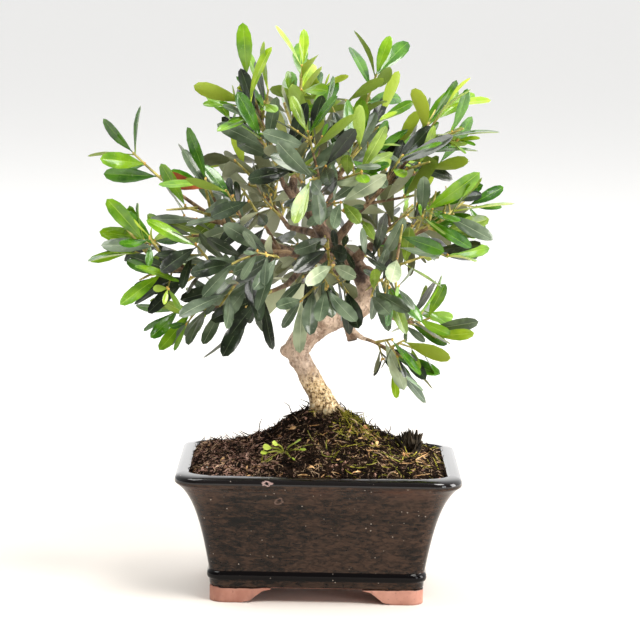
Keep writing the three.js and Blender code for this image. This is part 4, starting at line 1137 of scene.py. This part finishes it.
            if not self.fits(stem, spread_out(LEAF_GRID), LEAF_MARGIN, 1.6):
                continue
            outline = spread_out(LEAF_OUTLINE)
            if self.leaf_crosses(stem, outline, carrier):
                continue
            stem.leaves.append(Leaf(
                base=base, along=along, face=face, across=breadth, length=length, width=width, youth=youth,
                spray=carrier, mark=mark, node=node, seed=stem.seed, share=share))
            stem.outlines.append(outline)
            stem.middles.extend(middles)
            return


# Bark on the trunk and boughs.

KNOBS = [(-18.2, -3, 128.5, 3.6), (1.5, -6.4, 145, 4.2)]
KNOB_ROUND = [(-1, 0.25), (-0.6, 0.8), (0, 1), (0.6, 0.8), (1, 0.25)]
STUB = [(14, -1, 146, 3.4), (15.6, -2, 140, 3.0), (17, -3, 134.5, 2.8)]


def evaluated_mesh(piece):
    depsgraph = bpy.context.evaluated_depsgraph_get()
    return bpy.data.meshes.new_from_object(piece.evaluated_get(depsgraph))


def make_bark(plant):
    """One mesh for the trunk and all boughs: tubes grown together, then given the bark's relief."""
    data = bpy.data.curves.new("limbs", "CURVE")
    data.dimensions = "3D"
    data.bevel_depth = MM
    data.bevel_resolution = 5
    data.use_fill_caps = True

    def add_limb(line, radii):
        spline = data.splines.new("POLY")
        spline.points.add(len(line) - 1)
        for point, place, radius in zip(spline.points, in_frame(line), radii):
            point.co = (*place, 1.0)
            point.radius = radius

    for limb in plant.limbs.values():
        add_limb(limb.line, limb.girths)
    for stem in plant.stems:
        tip = stem.carrier.girths[-1]
        line = [stem.carrier.end - stem.carrier.end_way * 2, stem.line[0], stem.line[1]]
        add_limb(line, [tip, tip * 0.95, tip * 0.8])
    for x, y, z, radius in KNOBS:
        line = [(x, y + way * radius, z) for way, _ in KNOB_ROUND]
        add_limb(line, [share * radius for _, share in KNOB_ROUND])
    add_limb([mark[:3] for mark in STUB], [mark[3] for mark in STUB])
    tubes = in_scene("limbs", data)
    rough = in_scene("limbs_rough", evaluated_mesh(tubes))
    grown = rough.modifiers.new("grown_together", "REMESH")
    grown.mode = "VOXEL"
    grown.voxel_size = 0.45 * MM
    softened = rough.modifiers.new("softened", "SMOOTH")
    softened.factor = 0.5
    softened.iterations = 6
    mesh = evaluated_mesh(rough)
    for piece in (rough, tubes):
        bpy.data.objects.remove(piece)
    roughen_bark(mesh, plant)
    smooth(mesh, 180)
    settle("bark", mesh, [bark_finish()], ["trunk"] + [spec[0] for spec in BOUGHS])


def roughen_bark(mesh, plant):
    """Moves the skin in and out: ridges along each limb, lumps, pits and a flare at the foot."""
    spots = []
    for limb in plant.limbs.values():
        ways = np.gradient(limb.line, axis=0)
        far = np.concatenate([[0], np.cumsum(np.linalg.norm(np.diff(limb.line, axis=0), axis=1))])
        spots += list(zip(limb.line, ways, far, limb.girths))
    tree = KDTree(len(spots))
    for number, spot in enumerate(spots):
        tree.insert(Vector(spot[0]), number)
    tree.balance()
    count = len(mesh.vertices)
    places = np.zeros(count * 3, np.float32)
    normals = np.zeros(count * 3, np.float32)
    mesh.vertices.foreach_get("co", places)
    mesh.vertex_normals.foreach_get("vector", normals)
    places = places.reshape(-1, 3).astype(float)
    normals = normals.reshape(-1, 3).astype(float)
    moves = np.zeros(count)
    for number, place in enumerate((places - POT_MIDDLE) / MM):
        point, way, far, girth = spots[tree.find(Vector(place))[1]]
        way = way / np.linalg.norm(way)
        out = place - point
        out = out - way * float(out @ way)
        ring = Vector(out * (3.0 / max(girth, 2.0)))
        here = Vector(place)
        ridge = noise.noise(ring * 0.55 + Vector(way) * (far * 0.06) + Vector((far * 0.03, 0, 0)))
        lump = noise.noise(here * 0.13)
        grit = noise.noise(here * 0.75) + 0.5 * noise.noise(here * 1.6)
        pit = max(0.0, noise.noise(here * 0.95 + Vector((7, 3, 1))) - 0.28) * (1.0 if place[2] < 135 else 0.5)
        knot = noise.noise(here * 0.36 + Vector((3, 9, 5)))
        thick = min(1.0, girth / 6)
        foot = math.exp(-max(0.0, place[2] - 97) / 4.5) * (1 if girth > 5 else 0)
        turn = math.atan2(place[1], place[0] - 3)
        moves[number] = (thick * (0.45 * ridge + 0.7 * lump + 0.4 * knot + 0.2 * grit - 1.1 * pit)
                         + foot * (1.3 + 0.9 * math.cos(5 * turn + 0.8)))
    places += normals * (moves * MM)[:, None]
    mesh.vertices.foreach_set("co", places.astype(np.float32).ravel())
    mesh.update()


# Twigs and leaves.

WOODY_LENGTH = 26
WOBBLE_SEED = 1


def leaf_luck(leaf, kind):
    return chance(leaf.seed, leaf.mark, leaf.node, kind)


def make_twigs(plant):
    noise.seed_set(WOBBLE_SEED)
    woody, green, buds = Heap(), Heap(), Heap()
    for stem in plant.stems:
        root = stem.carrier.girths[-1] * 0.8
        shares = np.linspace(0, 1, 15)
        line = bend_points(stem.bend, 15)
        wobble = [noise.noise_vector(Vector(point) * 0.09) for point in line]
        line = line + np.array(wobble) * (0.9 * np.minimum(shares, 1 - shares) * 2)[:, None]
        radii = root + (0.62 - root) * shares ** 0.8
        woody.tube(line[:11], radii[:11], 7)
        green.tube(line[10:], radii[10:] * 1.02, 6)
        for shoot in stem.shoots:
            base = shoot[0] - (shoot[1] - shoot[0])
            points = between(base, shoot[-1], np.linspace(0, 1, 6))
            heap = woody if float(np.linalg.norm(shoot[-1] - base)) > WOODY_LENGTH else green
            heap.tube(points[:4], [0.95, 0.85, 0.78, 0.7], 6)
            green.tube(points[3:], [0.71, 0.62, 0.45], 6)
        for base, end in stem.spurs:
            green.tube(between(base, end, (0, 0.35, 0.7, 1)), [0.6, 0.52, 0.45, 0.32], 5)
        for leaf in stem.leaves:
            if leaf_luck(leaf, 21) < 0.5:
                foot = leaf.base + leaf.along * 0.9 + UP * 0.3
                size = 0.5 + 0.35 * leaf_luck(leaf, 22)
                buds.add(foot + LUMP_POINTS * size * np.array([1, 1, 1.3]), LUMP_FACES)
    pieces = [("twigs_woody", woody, ("woody_twig", (88, 67, 48), (162, 135, 103), 0.75)),
              ("twigs_green", green, ("green_twig", (122, 116, 52), (190, 176, 98), 0.55)),
              ("buds", buds, ("bud", (178, 134, 58), (222, 186, 104), 0.6))]
    for name, heap, finish in pieces:
        heap.settle(name, [twig_finish(*finish)], "bark")


# A leaf's half width along its length, and the lines of points across it.
LEAF_STATIONS = [(0, 0.06), (0.09, 0.09), (0.24, 0.45), (0.42, 0.81), (0.62, 1.0), (0.81, 0.9), (0.945, 0.54)]
LEAF_COLUMNS = [-1, -0.55, -0.04, 0.04, 0.55, 1]


def leaf_faces():
    """Corners of a leaf's faces, and whether each is blade, rib or underside."""
    rows = len(LEAF_STATIONS)
    wide = len(LEAF_COLUMNS)
    tip = rows * wide + rows
    faces, kinds = [], []
    for row in range(rows):
        for column in range(wide - 1):
            here = row * wide + column
            kinds.append(1 if column == 2 else 0)
            if row < rows - 1:
                faces.append((here, here + wide, here + wide + 1, here + 1))
            else:
                faces.append((here, tip, here + 1))
        left, right = row * wide, row * wide + wide - 1
        below = rows * wide + row
        if row < rows - 1:
            faces.append((left, below, below + 1, left + wide))
            faces.append((below, right, right + wide, below + 1))
        else:
            faces.append((left, below, tip))
            faces.append((below, right, tip))
        kinds += [2, 2]
    faces.append((0, 1, 2, 3, 4, 5, rows * wide))
    kinds.append(2)
    return [tuple(reversed(face)) for face in faces], kinds


LEAF_FACES, LEAF_KINDS = leaf_faces()


def leaf_points(leaf):
    """A leaf's skin: bent along its length, folded at the rib, twisted and a little wavy."""
    def luck(kind):
        return chance(leaf.seed + 0.37, leaf.mark, leaf.node, kind)

    length = leaf.length
    half = leaf.width * 0.42
    young = leaf.youth > 0
    bend = (0.10 + 0.35 * luck(1)) if young else (0.55 * luck(1) - 0.2)
    fold = (0.5 + 0.4 * luck(2)) if young else (0.15 + 0.45 * luck(2))
    twist = 0.9 * (luck(3) - 0.5)
    lean = 0.16 * (luck(4) - 0.5)
    points = []
    unders = []

    def at(far, side, up):
        turn = twist * far
        back = -bend * far * far * 0.5 * length
        sway = lean * length * far * far
        across = leaf.across * math.cos(turn) + leaf.face * math.sin(turn)
        face = leaf.face * math.cos(turn) - leaf.across * math.sin(turn)
        reach = far * length * (1 - bend * bend * far * far / 8)
        return leaf.base + leaf.along * reach + leaf.face * back + across * (side + sway) + face * up

    for far, share in LEAF_STATIONS:
        wide = half * share
        for column in LEAF_COLUMNS:
            up = fold * wide * abs(column) * (1 - 0.75 * abs(column))
            up += 0.05 * half * math.sin(9 * far + 4 * luck(5)) * abs(column)
            points.append(at(far, column * wide, up))
        unders.append(at(far, 0, -0.55 if far < 0.1 else -0.42))
    return np.array(points + unders + [at(1, 0, 0)])


# Tones: dark and pale of the blade, rib, underside, and roughness.
# The deep tone is partly painted shade inside the crown; the grey and pale grey-green tones are partly
# painted sheen.
LEAF_TONES = {
    "deep": ((10, 17, 8), (40, 53, 34), (66, 79, 52), (98, 103, 70), 0.26),
    "grey": ((60, 75, 54), (100, 115, 90), (122, 134, 106), (136, 141, 110), 0.32),
    "sage_sheen": ((120, 135, 106), (178, 189, 154), (188, 198, 166), (166, 172, 138), 0.34),
    "olive": ((78, 102, 20), (124, 150, 50), (150, 168, 78), (150, 158, 84), 0.3),
    "rich": ((34, 78, 5), (72, 120, 16), (98, 140, 36), (130, 154, 54), 0.22),
    "fresh": ((74, 120, 3), (116, 156, 18), (138, 172, 46), (148, 168, 46), 0.24),
    "bright": ((124, 160, 12), (168, 194, 50), (180, 204, 74), (176, 194, 62), 0.26),
    "rust": ((120, 52, 28), (176, 88, 48), (176, 100, 60), (170, 110, 76), 0.5),
}
RUST_SPOT = vec(-57, -20, 234)


def leaf_tone(leaf):
    """Tone of a leaf, dealt out by its spray: lime on the outside and high up, grey-green inside with the
    grey and pale tones partly painted sheen, and dark deep inside as painted shade of the crown.
    """
    spray = chance(leaf.seed, leaf.spray, 31)
    off = (leaf.base - FOLIAGE_MIDDLE) / vec(FOLIAGE_HALF_WIDTH, FOLIAGE_HALF_DEPTH, FOLIAGE_HALF_HEIGHT)
    # Painted shade: leaves deep inside the crown lean towards the dark tones.
    inner_shade = max(0.0, 1 - math.sqrt(float(off @ off)) / 0.6)
    pick = (0.6 * spray + 0.4 * leaf_luck(leaf, 32)) * (1 - 0.45 * inner_shade)
    high = max(0.0, min(1.0, (leaf.base[2] - 215) / 50))
    outer = min(1.0, abs(leaf.base[0] - FOLIAGE_MIDDLE[0]) / 80) * max(0.0, min(leaf.share, 1) - 0.55)
    youth = leaf.youth + 0.34 * (spray - 0.5) + 0.125 + 0.16 * high + 0.45 * outer
    if youth > 0.12:
        return "bright" if pick < 0.40 else "fresh" if pick < 0.66 else "rich"
    if youth > -0.03:
        return "fresh" if pick < 0.42 else "rich" if pick < 0.76 else "olive"
    if youth > -0.18 and pick > 0.66:
        return "olive"
    # Mature leaves: the dark tone is partly painted shade, the grey and pale grey-green tones partly painted
    # sheen.
    if pick < 0.74:
        return "deep" if pick < 0.42 else "grey"
    return "sage_sheen" if leaf.base[2] < 235 else "rich"


def make_leaves(plant):
    heaps = {tone: Heap() for tone in LEAF_TONES}
    leaves = [leaf for stem in plant.stems for leaf in stem.leaves]
    withered = min(leaves, key=lambda leaf: np.linalg.norm(leaf.base - RUST_SPOT))
    for leaf in leaves:
        tone = "rust" if leaf is withered else leaf_tone(leaf)
        heaps[tone].add(leaf_points(leaf), LEAF_FACES, LEAF_KINDS)
    masses = ["foliage_" + spec[0] for spec in MASSES]
    for tone, (dark, pale, rib, under, roughness) in LEAF_TONES.items():
        gloss = 0.6 if tone in ("rich", "fresh", "bright") else 0.4
        finishes = [leaf_finish(f"leaf_{tone}", dark, pale, roughness, 0.24, gloss),
                    leaf_finish(f"rib_{tone}", rib, rib, roughness),
                    leaf_finish(f"underside_{tone}", under, under, roughness + 0.15)]
        heaps[tone].settle(f"leaves_{tone}", finishes, "leaf", masses if tone == "deep" else (), 55)


# Floor, light and camera.

FLOOR_RADIUS = 30
LIGHT_AIM = (0, 0, 140)
# Lights: name, place from the aim in metres, width, height, power and colour.
LIGHTS = [("window", (0.7, -0.8, 1.45), 0.75, 0.75, 36, (1.0, 0.98, 0.94)),
          ("ceiling", (-0.75, -0.2, 1.7), 1.0, 1.0, 26, (1.0, 0.99, 0.97)),
          ("side", (1.35, -0.1, 0.3), 0.5, 0.9, 17, (1.0, 0.99, 0.98)),
          ("low", (1.0, -1.1, 0.15), 0.4, 0.4, 5, (0.95, 0.97, 1.0))]
CAMERA_AIM = (-0.57, 0, 145)
CAMERA_RAISED = math.radians(7.5)
CAMERA_ROLL = math.radians(1.0)
CAMERA_DISTANCE = 1.524


def make_stage():
    bm = bmesh.new()
    bmesh.ops.create_circle(bm, cap_ends=True, radius=FLOOR_RADIUS, segments=64)
    mesh = mesh_of(bm, "floor")
    floor = in_scene("floor", mesh)
    finish = Finish("floor_painted_falloff")
    # Painted light: the floor is darker near the pot and near white far away, a painted falloff of light that
    # gives a white background.
    away = (finish.near((0, 0, 0)) + 60 * finish.grain(0.8, 2.0)).fade(250, 1300)
    colour = away.mix((216, 210, 203), (254, 254, 253))
    mesh.materials.append(finish.done(Base_Color=colour, Roughness=0.7, Specular_IOR_Level=0.2))


def make_light():
    """A bright soft room: pale all round and behind, dimmer on the left and where the camera stands."""
    world = bpy.data.worlds.new("pale_room")
    bpy.context.scene.world = world
    room = Nodes(world, "ShaderNodeBackground", "ShaderNodeOutputWorld")
    direction = room.texture_places.outputs["Generated"]
    depth = room.part(direction, 1)
    pale = depth.fade(-0.6, 0.5).mix((0.36, 0.35, 0.34, 1), (1.4, 1.4, 1.4, 1))
    pale = (room.part(direction, 0).fade(0.0, -0.8) * 0.6).mix(pale, (0.12, 0.12, 0.12, 1))
    room.wear(Color=depth.fade(0.7, 0.95).mix(pale, (1.5, 1.49, 1.48, 1)))
    for name, place, wide, tall, power, colour in LIGHTS:
        data = bpy.data.lights.new(name, "AREA")
        data.shape = "RECTANGLE"
        data.size = wide
        data.size_y = tall
        data.energy = power
        data.color = colour
        lamp = in_scene(name, data)
        lamp.location = Vector(in_frame(LIGHT_AIM)) + Vector(place)
        lamp.rotation_euler = (-Vector(place)).to_track_quat("-Z", "Y").to_euler()
    bpy.context.scene.view_settings.view_transform = "Standard"


def make_camera():
    data = bpy.data.cameras.new("photo_view")
    data.sensor_width = 36
    data.lens = 160.875
    data.clip_end = 100
    camera = in_scene("photo_view", data)
    back = Vector((0, -math.cos(CAMERA_RAISED), math.sin(CAMERA_RAISED)))
    camera.location = Vector(in_frame(CAMERA_AIM)) + back * CAMERA_DISTANCE
    tip = (-back).to_track_quat("-Z", "Y")
    camera.rotation_mode = "QUATERNION"
    camera.rotation_quaternion = tip @ Euler((0, 0, CAMERA_ROLL)).to_quaternion()
    bpy.context.scene.camera = camera


make_camera()
make_light()
make_stage()
make_pot()
make_feet()
soil_surface = make_soil_mound()
make_soil_fibres(soil_surface)
make_crumbs(soil_surface)
make_sprig(soil_surface)
bonsai = Plant()
make_bark(bonsai)
make_twigs(bonsai)
make_leaves(bonsai)
